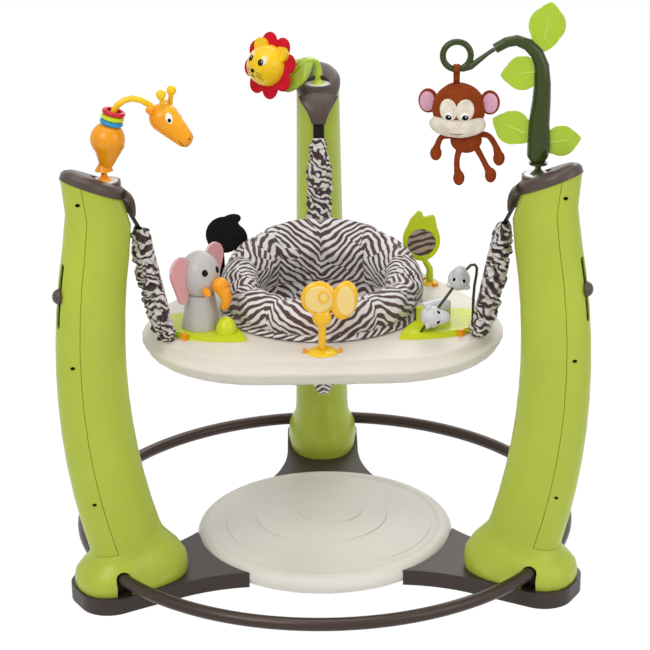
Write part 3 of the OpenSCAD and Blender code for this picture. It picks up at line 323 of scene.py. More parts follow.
def giraffe_coat(tree, bsdf, coords):
    """Plastic of the giraffe's head: orange, turning yellow from the brow to the horns."""
    place = coords["Object"]
    crown = Vector(turned(GIRAFFE, (-1, 0, 0)))
    middle = crown.dot(GIRAFFE.translation * MM)
    height = put(tree, "VectorMath", {0: place, 1: crown}, operation="DOT_PRODUCT").outputs["Value"]
    share = share_between(tree, height, middle + 0.012, middle + 0.036)
    tone = two_tone(tree, share, colour((246, 160, 16)), colour((252, 202, 14)))
    grained(tree, bsdf, place, tone, 0.16, 0.26)
    join(tree, bsdf, Specular_IOR_Level=0.32)


def floor_white(tree, *unused):
    """White floor: plain white for the camera, with the object's shadow left in it."""
    tree.nodes.clear()
    ray = put(tree, "LightPath").outputs
    seen = math_node(tree, "MAXIMUM", ray["Is Camera Ray"], ray["Is Glossy Ray"])
    cloud = speckle(tree, put(tree, "TexCoord").outputs["Object"], 2.0)
    tone = ramp(tree, cloud, [(0.3, (0.93, 0.93, 0.93, 1)), (0.7, (0.95, 0.95, 0.95, 1))])
    matt = put(tree, "BsdfDiffuse", {"Color": tone})
    white = put(tree, "Emission", {"Color": (1, 1, 1, 1), "Strength": 1.08})
    share = math_node(tree, "MULTIPLY", seen, 0.88)
    both = put(tree, "MixShader", {0: share, 1: matt.outputs[0], 2: white.outputs[0]})
    put(tree, "OutputMaterial", {"Surface": both.outputs[0]})


def white_world():
    """Even light, and plain white where the camera or a reflection looks past the object."""
    made = bpy.data.worlds.new("studio")
    made.use_nodes = True
    tree = made.node_tree
    tree.nodes.clear()
    ray = put(tree, "LightPath").outputs
    seen = math_node(tree, "MAXIMUM", ray["Is Camera Ray"], ray["Is Transmission Ray"])
    seen = math_node(tree, "MAXIMUM", seen, ray["Is Glossy Ray"])
    level = to_range(tree, seen, 0.33, 1.0)
    back = put(tree, "Background", {"Color": (1, 1, 1, 1), "Strength": level})
    put(tree, "OutputWorld", {"Surface": back.outputs[0]})
    scene.world = made


# Colour, roughness and, where it isn't the usual one, grain of each plain plastic
PLASTICS = {
    "tower_green": ((182, 197, 66), 0.34, 0.04),
    "cap_brown": ((84, 69, 63), 0.32, 0.08),
    "leg_brown": ((60, 49, 45), 0.38, 0.08),
    "cream": ((226, 219, 208), 0.42, 0.1),
    # Same cream as the tray, made lighter on the base pad: painted light against the shade under the tray
    "pad_cream_painted_light": ((240, 235, 227), 0.42, 0.1),
    "ring_grey": ((200, 198, 194), 0.4),
    "lime": ((190, 206, 30), 0.2),
    "lime_pod": ((210, 220, 36), 0.2),
    "lime_ring": ((205, 222, 30), 0.2),
    "lime_vein": ((216, 232, 116), 0.2),
    "orange": ((246, 160, 16), 0.18),
    "yellow": ((250, 204, 22), 0.2),
    "dark_green": ((52, 66, 16), 0.12),
    "elephant_grey": ((190, 188, 184), 0.26),
    "ear_edge": ((216, 212, 208), 0.3),
    "bead_grey": ((212, 212, 216), 0.24),
    "pink": ((233, 168, 172), 0.34),
    "red": ((206, 28, 48), 0.22),
    "blue": ((38, 150, 208), 0.22),
    "face_cream": ((250, 228, 176), 0.18),
    "eye_white": ((244, 243, 240), 0.16),
}
LOOK = {}


def add_look(maker, name, *values, **more):
    """New material, whose maker gets its tree, its shader and the coordinates."""
    made = bpy.data.materials.new(name)
    made.use_nodes = True
    tree = made.node_tree
    maker(tree, tree.nodes["Principled BSDF"], put(tree, "TexCoord").outputs, *values, **more)
    LOOK[name] = made


for name, values in PLASTICS.items():
    add_look(plastic, name, *values)
add_look(metal, "tube_brown", (66, 52, 47), 0.34, 0.55)
add_look(metal, "steel", (190, 190, 188), 0.26)
add_look(metal, "screw_dark", (50, 48, 47), 0.4)
add_look(plastic, "lime_clear", (178, 206, 36), 0.16, clear=0.35)
add_look(plastic, "yellow_clear", (248, 192, 12), 0.16, clear=0.4)
add_look(plastic, "amber_pale", (246, 214, 132), 0.16, clear=0.4)
add_look(plastic, "black_gloss", (9, 8, 8), 0.12, shine=0.12)
add_look(giraffe_coat, "giraffe_coat")
add_look(zebra, "zebra")
# Both shades of the sleeve print are darker than the seat's: painted shade of the deep folds
add_look(zebra, "zebra_gathered_painted_shade", 0.03, 0.6, 0.12, ((64, 44, 45), (224, 218, 214)), "gathered")
# Darker stripes on the mirror's glass: a painted reflection
add_look(zebra, "zebra_mirror_painted_reflection", 0.0125, -0.12, 0.03, ((60, 40, 36), (172, 148, 136)), "card")
add_look(stem_colours, "stems")
add_look(plush, "mane_red", (208, 26, 46), 0.25, 700.0)
add_look(plush, "monkey_brown", (140, 60, 22), 0.45)
add_look(plush, "monkey_cream", (232, 222, 202), 0.25, 700.0)
add_look(plush, "monkey_pink", (222, 168, 190), 0.25, 700.0)
add_look(plush, "leaf_black", (26, 25, 25), 0.4)
add_look(webbing, "webbing", (14, 13, 13))
add_look(floor_white, "floor_white")


# Meshes
def mesh(name, points, faces, look, corner_uv=None):
    """New piece from points in millimetres."""
    data = bpy.data.meshes.new(name)
    data.from_pydata([tuple(p) for p in np.asarray(points, float) * MM], [], faces)
    data.materials.append(LOOK[look])
    if corner_uv is not None:
        layer = data.uv_layers.new(name="flat")
        layer.uv.foreach_set("vector", np.asarray(corner_uv, np.float32).ravel())
    data.shade_smooth()
    piece = bpy.data.objects.new(name, data)
    scene.collection.objects.link(piece)
    return piece


def grid(name, rows, look, round_u=False, round_v=False, ends=False, flat=None):
    """Piece over a grid of points: rows along v, columns along u, with flat coordinates in metres."""
    rows = np.asarray(rows, float)
    count_v, count_u = rows.shape[:2]
    faces, corners = [], []
    for i in range(count_v if round_v else count_v - 1):
        for j in range(count_u if round_u else count_u - 1):
            k, m = (i + 1) % count_v, (j + 1) % count_u
            faces.append((i * count_u + j, i * count_u + m, k * count_u + m, k * count_u + j))
            if flat is not None:
                corners += [flat[i][j], flat[i][j + 1], flat[i + 1][j + 1], flat[i + 1][j]]
    if ends:
        last = (count_v - 1) * count_u
        faces += [tuple(reversed(range(count_u))), tuple(last + j for j in range(count_u))]
    return mesh(name, rows.reshape(-1, 3), faces, look, corners or None)


def tube(name, path, radii, look, sides=16):
    """Round tube along a path of points, with its ends drawn in."""
    path = np.asarray(path, float)
    radii = np.broadcast_to(radii, len(path)).astype(float)
    ahead = np.gradient(path, axis=0)
    side = None
    rows = []
    for i, p in enumerate(path):
        t = unit(ahead[i])
        start = np.cross(t, (0.31, 0.52, 0.79)) if side is None else side - t * np.dot(side, t)
        side = unit(start)
        up = np.cross(t, side)
        rows.append([p + radii[i] * (math.cos(q) * side + math.sin(q) * up) for q in round_turns(sides)])
    ends = [(rows[0], path[0], -unit(ahead[0]), radii[0]), (rows[-1], path[-1], unit(ahead[-1]), radii[-1])]
    caps = [[[middle + (p - middle) * math.cos(q) + out * r * math.sin(q) * 0.6 for p in ring]
             for q in (0.5, 1.0, 1.4)] for ring, middle, out, r in ends]
    return grid(name, caps[0][::-1] + rows + caps[1], look, round_u=True, ends=True)


def smooth_path(points, steps=6):
    """Smooth curve through the points, with as many steps to each stretch."""
    points = [np.asarray(p, float) for p in points]
    padded = [2 * points[0] - points[1]] + points + [2 * points[-1] - points[-2]]
    made = []
    for a, b, c, d in zip(padded, padded[1:], padded[2:], padded[3:]):
        for k in range(steps):
            u = k / steps
            made.append(0.5 * (2 * b + (c - a) * u + (2 * a - 5 * b + 4 * c - d) * u ** 2
                               + (3 * b - a - 3 * c + d) * u ** 3))
    return made + [points[-1]]


def ball(name, look, place, radii, turn=None, lumps=0.0, rings=24):
    """Rounded form with its own half sizes, a little uneven where it is stuffed."""
    turn = np.asarray(turn if turn is not None else Matrix.Identity(3))
    rows = []
    for i in range(1, rings):
        q = math.pi * i / rings - math.pi / 2
        row = []
        for j in range(2 * rings):
            a = math.pi * j / rings
            d = np.array((math.cos(q) * math.cos(a), math.cos(q) * math.sin(a), math.sin(q)))
            p = turn @ (d * np.asarray(radii, float))
            swell = 1 + lumps * noise.noise(Vector(p * 0.06 + np.asarray(place) * 0.013))
            row.append(np.asarray(place, float) + p * swell)
        rows.append(row)
    return grid(name, rows, look, round_u=True, ends=True)


# Share of the width and of the height, from the foot of a low dome to its top
DOME = ((1.0, 0.0), (0.94, 0.35), (0.8, 0.62), (0.55, 0.88), (0.25, 0.98), (0.02, 1.0))


def button(name, look, place, out, half_w, half_h, dome=1.5, up=(0, 0, 1), sink=1.2):
    """Low domed disc on a surface: an eye, a nose or a painted spot with its own thickness."""
    out = unit(np.asarray(out, float))
    across = unit(np.cross(np.asarray(up, float), out))
    up = np.cross(out, across)
    rows = []
    for share, height in [(1.0, -sink)] + [(share, lift * dome) for share, lift in DOME]:
        rows.append([np.asarray(place) + share * (half_w * math.cos(q) * across + half_h * math.sin(q) * up)
                     + out * height for q in round_turns(32)])
    return grid(name, rows, look, round_u=True, ends=True)


def ribbon(name, look, line, widths, at):
    """Strip along a line in a plane, placed by at(width, *point), and its length in millimetres."""
    rows, flat = [], []
    run = 0
    for k, p in enumerate(line):
        run += np.linalg.norm(np.subtract(p, line[k - 1])) if k else 0
        rows.append([at(w, *p) for w in widths])
        flat.append([(w * MM, run * MM) for w in widths])
    return grid(name, rows, look, flat=flat), run


def thicken(piece, thick, offset=-1):
    """Gives a sheet its thickness in millimetres, to its inner side unless the offset says otherwise."""
    added = piece.modifiers.new("thick", "SOLIDIFY")
    added.thickness = thick * MM
    added.offset = offset


def ride(piece, body, slot, *replaced):
    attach(piece, body)
    if replaced:
        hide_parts(*replaced)
    return piece


def dress(node, look, angle=38):
    """Gives a node of the part its finish, with its round faces shaded smooth."""
    piece = nodes[node]
    data = piece.data
    data.materials.clear()
    data.materials.append(LOOK[look])
    own = data.attributes.get("custom_normal")
    if own:
        data.attributes.remove(own)
    data.shade_smooth()
    piece.modifiers.new("weld", "WELD").merge_threshold = 2e-5
    piece.modifiers.new("split", "EDGE_SPLIT").split_angle = math.radians(angle)
    piece.modifiers.new("shade", "WEIGHTED_NORMAL").keep_sharp = True


CAD_LOOKS = {
    "cream": ["tray_top", "tray_base"],
    # The base pad's lighter cream is painted light against the tray's shade
    "pad_cream_painted_light": ["base_pad"],
    "leg_brown": ["base_legs"],
    "tube_brown": ["base_ring"],
    "tower_green": [f"tower_inner_{side}" for side in TOWERS] + ["tower_covers"],
    "cap_brown": [f"{name}_{side}" for name in ("tower_cap", "height_knob") for side in TOWERS]
                 + ["tray_anchors"],
    "screw_dark": ["frame_screws", "tray_screws"],
    "steel": ["strap_bars"],
    "black_gloss": ["spring_hangers"],
    "ring_grey": ["seat_ring"],
    "lime": ["mirror_leaf"],
    "lime_pod": ["elephant_base", "bead_base", "egg_button"],
    "lime_clear": ["vine_leaves", "lion_stalk"],
    "stems": ["toy_stems"],
    "orange": ["release_clips", "elephant_trunk", "giraffe_bulb"],
    "giraffe_coat": ["giraffe_head"],
    "yellow": ["giraffe_neck", "lion_face", "toy_feet"],
    "yellow_clear": ["teether"],
    "dark_green": ["bead_wire", "vine_stalk", "vine_link"],
    "elephant_grey": ["elephant_body"],
    "bead_grey": ["bead_low", "bead_high", "bead_drum"],
    "pink": ["elephant_ears"],
    "blue": ["giraffe_ring_low"],
    "lime_ring": ["giraffe_ring_middle"],
    "red": ["giraffe_ring_high"],
    # The mirror's glass carries zebra stripes as a painted reflection
    "zebra_mirror_painted_reflection": ["mirror_glass"],
}


# Soft pieces: the seat's padded rim and bag, the spring covers and the straps
SEAMS = [-90, -58, -22, 14, 50, 90, 130, 166, 202, 238, 270]
RIM_OUT = 173
RIM_BASE = 449.9
RIM_FRONT = 505
RIM_BACK = 557


def rim_height(a):
    return mix(RIM_FRONT, RIM_BACK, ((1 + math.sin(a)) / 2) ** 1.5) - RIM_BASE


def from_seam(degrees):
    """Share of the way over its panel, mirrored in every second one, and the panel's width."""
    wrapped = (degrees + 90) % 360 - 90
    for k, (a, b) in enumerate(zip(SEAMS, SEAMS[1:])):
        if a <= wrapped <= b:
            part = (wrapped - a) / (b - a)
            return (part if k % 2 == 0 else 1 - part), b - a
    return 0.0, 30


# Section of the rim: distance from its outer edge, and share of its height
RIM_LOOP = [(-33, 1.0), (-20, 0.97), (-9, 0.84), (-2, 0.62), (0, 0.4), (-3, 0.18), (-10, 0.03), (-24, 0.0),
            (-40, 0.0), (-52, 0.06), (-58, 0.28), (-60, 0.55), (-57, 0.8), (-47, 0.96)]


def rim_profile(a, count):
    """Closed section of the padded rim at one direction, from the top outward and back inside."""
    high = rim_height(a)
    lean = 12 * (high + RIM_BASE - RIM_FRONT) / (RIM_BACK - RIM_FRONT)
    points = [np.array((RIM_OUT + r + lean * (z - 0.4), RIM_BASE + high * z)) for r, z in RIM_LOOP]
    points.append(points[0])
    line = np.array(smooth_path(points, 8))
    steps = np.concatenate(([0], np.cumsum(np.linalg.norm(np.diff(line, axis=0), axis=1))))
    at = np.linspace(0, steps[-1], count, endpoint=False)
    return np.array([(np.interp(s, steps, line[:, 0]), np.interp(s, steps, line[:, 1])) for s in at]), at


STUFFING = {"quality": 6, "mass": 0.25, "tension_stiffness": 18, "compression_stiffness": 18,
            "bending_stiffness": 0.6, "use_pressure": True, "vertex_group_mass": "sewn"}


def cloth_puff(piece, pinned, pressure, growth, cap, frames=20):
    """Swells a closed piece as stuffed cloth, then keeps each point within the cap of where it was."""
    start = np.array([v.co for v in piece.data.vertices])
    group = piece.vertex_groups.new(name="sewn")
    for index, weight in pinned:
        group.add([index], weight, "REPLACE")
    cloth = piece.modifiers.new("stuffing", "CLOTH")
    for key, value in STUFFING.items():
        setattr(cloth.settings, key, value)
    cloth.settings.uniform_pressure_force = pressure
    cloth.settings.shrink_min = -growth
    cloth.settings.effector_weights.gravity = 0
    cloth.collision_settings.use_collision = False
    for number in range(1, frames + 1):
        scene.frame_set(number)
    shaped = piece.evaluated_get(bpy.context.evaluated_depsgraph_get())
    moved = np.array([v.co for v in shaped.data.vertices]) - start
    piece.modifiers.remove(cloth)
    scene.frame_set(1)
    reach = np.linalg.norm(moved, axis=1, keepdims=True)
    moved *= np.minimum(1, cap * MM / np.maximum(reach, 1e-9))
    piece.data.vertices.foreach_set("co", (start + moved).astype(np.float32).ravel())
    piece.vertex_groups.remove(group)
    piece.data.update()


def seat_rim():
    """Stuffed rim of the seat: ten panels of zebra cotton, drawn in at the seams and at two deep folds."""
    around, count = 200, 56
    rows, flat = [], []
    for j in range(around + 1):
        degrees = -90 + 360 * j / around
        a = math.radians(degrees)
        section, run = rim_profile(a, count)
        part, width = from_seam(degrees)
        edge = min(part, 1 - part) * width
        tuck = 3.0 * math.exp(-(edge / 2.2) ** 2)
        middle = section.mean(axis=0)
        fold = sum(math.exp(-(((degrees - at + 180) % 360 - 180) / 7) ** 2) for at in (-27, 207))
        row = []
        for r, z in section:
            away = np.array((r, z)) - middle
            inward = 1 - tuck / max(20, np.linalg.norm(away)) - 0.16 * fold * (z > middle[1])
            r, z = middle + away * inward if z > RIM_BASE + 6 else (r, z)
            row.append((r * math.cos(a), r * math.sin(a), z))
        rows.append(row)
        length = run[1] - run[0]
        flat.append([(part * width * math.pi / 180 * 0.15, k * length * MM) for k in range(count + 1)])
    points = np.array(rows[:-1])
    piece = grid("seat_rim", points, "zebra", round_u=True, round_v=True, flat=flat)
    pinned = []
    for j in range(around):
        part, width = from_seam(-90 + 360 * j / around)
        seam = min(part, 1 - part) * width < 1.0
        for k in range(count):
            low = points[j][k][2] < RIM_BASE + 3
            pinned.append((j * count + k, 1.0 if low else 0.8 if seam else 0.0))
    cloth_puff(piece, [p for p in pinned if p[1] > 0], 3.0, 0.05, 9)
    piece.modifiers.new("finer", "SUBSURF").levels = 1
    piece.modifiers["finer"].render_levels = 1
    ride(piece, "seat", "zebra_cloth", "seat_pad")


def seat_bag():
    """Cloth sling under the rim, with two bound leg openings."""
    bottom, top = 303, TRAY_Z - 4
    rises = ((2, 0), (50, 1.5), (80, 11), (96, 30), (112, 64), (120, 100))
    side = smooth_path([(r, bottom + z) for r, z in rises] + [(124, top), (128, top + 24)], 8)
    around = 144
    rows, flat = [], []
    run = 0
    for k, (r, z) in enumerate(side):
        run += np.linalg.norm(np.subtract((r, z), side[k - 1])) if k else 0
        row, line = [], []
        for j in range(around + 1):
            a = math.tau * j / around
            part, width = from_seam(math.degrees(a))
            sag = 1.0 * noise.noise(Vector((4 * math.cos(a), 4 * math.sin(a), z * 0.03)))
            out = r - 1.6 + sag
            row.append((out * math.cos(a), out * math.sin(a), z + 1.5))
            line.append((part * width * math.pi / 180 * 0.12, run * MM))
        rows.append(row[:-1])
        flat.append(line)
    piece = grid("seat_bag", rows, "zebra", round_u=True, flat=flat)
    thicken(piece, 1.6, 0)
    for side_turn in (-1, 1):
        cut = piece.modifiers.new("leg", "BOOLEAN")
        cut.object = leg_hole(side_turn)
        cut.solver = "EXACT"
    shaped = bpy.data.meshes.new_from_object(piece.evaluated_get(bpy.context.evaluated_depsgraph_get()))
    for cut in [m for m in piece.modifiers if m.type == "BOOLEAN"]:
        bpy.data.objects.remove(cut.object)
    piece.modifiers.clear()
    piece.data = shaped
    shaped.shade_smooth()
    piece.modifiers.new("shade", "EDGE_SPLIT").split_angle = math.radians(50)
    ride(piece, "seat", "zebra_cloth", "seat_sling", "sling_floor")


def seat_hem():
    """Ruffled hem of the seat's cover, over the turning ring's flange and down to the tray."""
    around = 480
    rows, flat = [], []
    line = [(158, 458), (165, 455.5), (170, 452.6), (173.5, 449.6), (175.5, 447.2)]
    for k, (r, z) in enumerate(line):
        loose = k / (len(line) - 1)
        row = []
        for j in range(around):
            a = math.tau * j / around
            wave = math.sin(58 * a + 2.2 * noise.noise(Vector((3 * math.cos(a), 3 * math.sin(a), 0.4))))
            out = r + 1.5 * loose * wave
            row.append((out * math.cos(a), out * math.sin(a), z + 0.5 * loose * wave))
        rows.append(row)
        flat.append([(j / around * 1.09, 0.005 * k) for j in range(around + 1)])
    piece = grid("seat_hem", rows, "zebra", round_u=True, flat=flat)
    thicken(piece, 0.8)
    ride(piece, "seat", "zebra_cloth")


LEG_HOLE_R = 46


def leg_hole(side):
    """Cutter for one leg opening, where the part has it."""
    swing = Matrix.Rotation(math.radians(-90 + side * 38), 4, "Z")
    turn = swing @ Matrix.Rotation(math.radians(112), 4, "Y")
    place = Matrix.Translation((0, 0, 361 * MM)) @ turn @ Matrix.Translation((0, 0, 115 * MM))
    data = bpy.data.meshes.new("leg_hole")
    form = bmesh.new()
    bmesh.ops.create_cone(form, cap_ends=True, segments=64, radius1=LEG_HOLE_R * MM,
                          radius2=LEG_HOLE_R * MM, depth=150 * MM, matrix=place)
    form.to_mesh(data)
    form.free()
    cutter = bpy.data.objects.new("leg_hole", data)
    scene.collection.objects.link(cutter)
    return cutter


SPRING_FOOT = np.array((302, 453.0))
SPRING_HEAD = np.array((343, 640.0))
SPRING_LENGTH = np.linalg.norm(SPRING_HEAD - SPRING_FOOT)
SPRING_AXIS = (SPRING_HEAD - SPRING_FOOT) / SPRING_LENGTH
SPRING_ACROSS = np.array((SPRING_AXIS[1], -SPRING_AXIS[0]))
COIL_R = 9.6
WIRE_R = 1.25


def spring_point(az, run, x, y):
    """Point beside a spring: run along its axis from the foot, x away from the seat and y across."""
    base = SPRING_FOOT + SPRING_AXIS * run + SPRING_ACROSS * x
    return polar(az, base[0], y, base[1])


def follow_spring(piece):
    """Bakes the piece's place into its own points."""
    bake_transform(piece)


def spring_coil(side):
    """Steel coil of a spring, from the hanger above to the tray below."""
    az = TOWERS[side]
    turns, steps, clear = 12, 20, 1.55
    path = []
    for k in range(turns * steps + 1):
        q = math.tau * k / steps
        run = mix(clear, SPRING_LENGTH - clear, k / (turns * steps))
        path.append(spring_point(az, run, COIL_R * math.cos(q), COIL_R * math.sin(q)))
    piece = tube(f"spring_coil_{side}", path, WIRE_R, "steel", 8)
    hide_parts("springs")
    follow_spring(piece)


def spring_cover(side):
    """Gathered zebra sleeve round a spring: puffs between tight tucks, no two alike."""
    az = TOWERS[side]
    steps, around, tucks = 240, 84, 7
    seed = az * 0.37
    rows, flat = [], []
    for i in range(steps + 1):
        u = i / steps
        body = mix(14.2, 21.5, min(1, math.sin(math.pi * min(1, u * 1.04)) * 1.25))
        run = SPRING_LENGTH * u + mix(-2.5, 11, u)
        neck = max(0.0, (u - 0.94) / 0.06) ** 2
        row, line = [], []
        for j in range(around + 1):
            q = math.tau * j / around
            ring = Vector((math.cos(q), math.sin(q), 0))
            drift = 2.0 * noise.noise(Vector((ring.x * 0.9, ring.y * 0.9, u * 6 + seed)))
            swell = abs(math.sin(math.pi * (tucks * u + drift))) ** 0.6
            pleat = noise.noise(Vector((ring.x * 1.7, ring.y * 1.7, u * 17 + seed)))
            fine = noise.noise(Vector((ring.x * 3.2, ring.y * 3.2, u * 44 + seed)))
            r = body * (0.62 + 0.46 * swell) + 5.5 * pleat + 2.4 * fine
            # The side that faces the seat is pressed in, so that the elephant's ear passes it
            inner = max(0.0, -ring.x) * min(1.0, 6 * u, 6 * (1 - u))
            r = max(13.2, min(mix(25.0, 15.5, inner ** 0.5), r))
            x, y = mix(r * ring.x, 4.5 * ring.x, neck), mix(r * ring.y, 12 * ring.y, neck)
            row.append(spring_point(az, run, x, y))
            line.append((j / around * 0.19 + seed, u * 0.34))
        rows.append(row[:-1])
        flat.append(line)
    # The sleeve's darker print is painted shade of its folds
    piece = grid(f"spring_cover_{side}", rows, "zebra_gathered_painted_shade", round_u=True, flat=flat)
    thicken(piece, 0.9)
    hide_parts("spring_covers")
    follow_spring(piece)


# Head of a tower: the end of its bow, the lean of its cap, and the bar that the strap turns over
BOW_R, BOW_CURVE, BOW_RISE, TOWER_TOP = 441, 1060, 303, 728
HEAD_LEAN = math.asin(BOW_RISE / BOW_CURVE) + math.radians(7.4)
HEAD_R = BOW_R - BOW_RISE ** 2 / (2 * BOW_CURVE) + 27
STRAP_MOUTH = (-84, -22)
STRAP_BAR = (-46, 6)
BAR_TURN_R = 5.1


def head_point(x, z):
    """Point of a tower head's leaning frame in the tower's plane."""
    c, s = math.cos(HEAD_LEAN), math.sin(HEAD_LEAN)
    return np.array((HEAD_R + x * c - z * s, TOWER_TOP + x * s + z * c))


def strap(side):
    """Black webbing from the hanger up through the nose of the cap and over its bar."""
    az = TOWERS[side]
    turns = [math.radians(q) for q in range(125, -1, -25)]
    wrap = [head_point(STRAP_BAR[0] + BAR_TURN_R * math.cos(q), STRAP_BAR[1] + BAR_TURN_R * math.sin(q))
            for q in turns]
    start = [SPRING_HEAD + SPRING_AXIS * 5.3, SPRING_HEAD + SPRING_AXIS * 13, head_point(*STRAP_MOUTH)]
    knots = start + wrap + [head_point(-40.9, -14)]
    line = []
    for a, b in zip(knots, knots[1:]):
        line += [mix(a, b, k / 6) for k in range(6)]
    line.append(knots[-1])
    widths = np.linspace(-10, 10, 9)
    piece, run = ribbon(f"strap_{side}", "webbing", line, widths, lambda w, r, z: polar(az, r, w, z))
    thicken(piece, 1.6, 0)
    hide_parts("strap_webbing")
    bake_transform(piece)


# Details of the toys, with a toy's points in its own frame
def on_ball(own, half, way):
    """Point and outward direction on a rounded form round the frame's origin."""
    way = np.asarray(way, float)
    half = np.asarray(half, float)
    point = way / math.sqrt(((way / half) ** 2).sum())
    return inside(own, point), turned(own, unit(point / half ** 2))


def spot(name, look, own, half, way, size, dome, up=(0, 0, 1), lift=0.0):
    place, out = on_ball(own, half, way)
    return button(name, look, place + out * lift, out, size[0], size[1], dome, turned(own, up))


def line_on_ball(name, look, own, half, ways, thick):
    """Thin raised line over a rounded form, drawn through directions."""
    path = smooth_path([on_ball(own, half, way)[0] for way in ways], 5)
    return tube(name, path, thick, look, 8)


def giraffe_face():
    """Eyes, nostrils and mouth of the giraffe."""
    muzzle = GIRAFFE @ Matrix.Translation((0, 0, 46))
    muzzle_half = (15, 15, 15)

    def on_head(piece):
        ride(piece, "giraffe", "orange_plastic")

    def on_cheek(name, look, run, way, size, rise):
        """Mark on the cheek, which narrows from the skull to the muzzle."""
        cheek = GIRAFFE @ Matrix.Translation((0, 0, run))
        half = 24 - 0.196 * run
        on_head(spot(name, look, cheek, (half, half, half), way, size, 0.7, (-0.64, 0, -0.77), rise))

    for name, side in (("near", -1), ("far", 1)):
        on_cheek(f"giraffe_eye_{name}", "eye_white", 8, (-16, side * 15, 4.4), (5.6, 9.0), 0)
        on_cheek(f"giraffe_pupil_{name}", "black_gloss", 11, (-13.6, side * 16.2, 4.3), (3.2, 3.4), 0.5)
        way = (-9, side * 5.5, 10)
        on_head(spot(f"giraffe_nostril_{name}", "black_gloss", muzzle, muzzle_half, way, (1.3, 2.0), 0.3))
    smile = [(5 - abs(k) * 1.2, k * 3.4, 10 - abs(k) * 2.2) for k in range(-4, 5)]
    on_head(line_on_ball("giraffe_mouth", "black_gloss", muzzle, muzzle_half, smile, 0.55))


LION = frame_at(socket("back", -86, -22, 40), (-41, "Z"), (76, "X"), (-11, "Z"))


def star_outline(circles, count=160):
    """Outline of overlapping circles and ovals, as seen from the middle: the farthest edge each way."""
    edge = []
    for k in range(count):
        q = math.tau * k / count
        way = np.array((math.cos(q), math.sin(q)))
        far = 0.0
        for x, y, half_a, half_b, tilt in circles:
            c, t = math.cos(math.radians(tilt)), math.sin(math.radians(tilt))
            turn = np.array(((c, t), (-t, c)))
            start = turn @ np.array((-x, -y)) / (half_a, half_b)
            run = turn @ way / (half_a, half_b)
            a, b, rest = run @ run, 2 * start @ run, start @ start - 1
            inner = b * b - 4 * a * rest
            if inner > 0:
                far = max(far, (-b + math.sqrt(inner)) / (2 * a))
        edge.append(way * far)
    return np.array(edge)


PILLOW_STEPS = (0.06, 0.35, 0.62, 0.82, 0.94)


def pillow(name, look, own, edge, thick, puff, lumps=0.0):
    """Stuffed flat form over an outline: thin at its sewn edge, fuller in the middle."""
    steps = [(share, -1) for share in PILLOW_STEPS] + [(1.0, 0)]
    steps += [(share, 1) for share in reversed(PILLOW_STEPS)]
    rows = []
    for share, side in steps:
        row = []
        for x, y in edge * share:
            rise = side * (thick / 2 + (puff - thick / 2) * (1 - share ** 2))
            if share < 1:
                rise += lumps * noise.noise(Vector((x * 0.07, y * 0.07, side * 3.0)))
            row.append(inside(own, (x, y, rise + thick / 2)))
        rows.append(row)
    return grid(name, rows, look, round_u=True, ends=True)


FACE_R, FACE_BULGE = 38.5, 42
MANE_R, PETAL_R = 43.4, 18.6


def lion_details():
    """Felt mane of eight petals, and the eyes, nose, mouth and whiskers on the face."""
    ways = [math.radians(22.5 + 45 * k) for k in range(8)]
    petals = [(MANE_R * math.cos(q), MANE_R * math.sin(q), PETAL_R, PETAL_R, 0) for q in ways]
    edge = star_outline([(0, 0, MANE_R, MANE_R, 0)] + petals)
    mane = pillow("lion_mane_felt", "mane_red", LION, edge, 6.4, 3.6, 0.25)
    ride(mane, "lion", "red_cloth", "lion_mane")
    own = LION @ Matrix.Translation((0, 0, 7.3))
    half = (FACE_R, FACE_R, FACE_BULGE)

    def over(x, y):
        """Direction of a point of the face, as seen from its front."""
        return x, y, FACE_BULGE * math.sqrt(1 - (x * x + y * y) / FACE_R ** 2)

    def mark(name, look, x, y, size, dome, lift=0.0):
        made = spot(name, look, own, half, over(x, y), size, dome, (0, 1, 0), lift)
        ride(made, "lion", "yellow_plastic")

    def drawn(name, points, thick):
        ways = [over(x, y) for x, y in points]
        ride(line_on_ball(name, "black_gloss", own, half, ways, thick), "lion", "yellow_plastic")

    for name, side in (("left", -1), ("right", 1)):
        mark(f"lion_patch_{name}", "face_cream", side * 16, 13, (7.4, 8.4), 0.6)
        mark(f"lion_eye_{name}", "black_gloss", side * 12.5, 8, (5.2, 6.2), 1.0, 0.6)
        mark(f"lion_glint_{name}", "eye_white", side * 12.5 + 1.5, 10, (1.2, 1.4), 0.4, 1.4)
        for k in range(3):
            points = [(side * x, -12.5 - 3 * k - 0.22 * k * (x - 9)) for x in (9, 12.5, 16, 19.5)]
            drawn(f"lion_whisker_{name}_{k}", points, 0.45)
    mark("lion_nose", "black_gloss", 0, -12, (4.4, 4.0), 1.8)
    drawn("lion_lip", [(0, -15), (0, -18), (0, -22)], 0.5)
    drawn("lion_smile", [(x, -20.5 - 2.5 * math.cos(0.3 * x)) for x in range(-5, 6)], 0.6)


def lion_leaf():
    """Near half of the leaf on the lion's stalk, which hangs from the edge of the arched blade."""
    turn = Matrix.Rotation(math.radians(14), 3, "Z")
    # Reach from the socket, height and half width of the blade there, and how far this half hangs
    stations = ((11, 46, 8, 6), (18, 46.5, 10, 22), (28, 44.5, 13, 33), (39, 37, 15, 34),
                (51, 25, 15, 30), (61, 11, 11, 20), (68, -2, 4, 6))
    rows = []
    for share in np.linspace(0, 1, 7):
        line = []
        for reach, top, width, hang in stations:
            out = width + 0.2 * hang * math.sin(0.5 * math.pi * share)
            line.append(socket("back", *(turn @ Vector((-reach, -out, top - hang * share)))))
        rows.append(smooth_path(line, 5))
    leaf = grid("lion_leaf", rows, "lime_clear")
    thicken(leaf, 2, 0)
    ride(leaf, "lion", "lime_plastic")


EAR_BIG_R, EAR_SMALL_R, EAR_RIM_INSET = 25, 12, 2.4


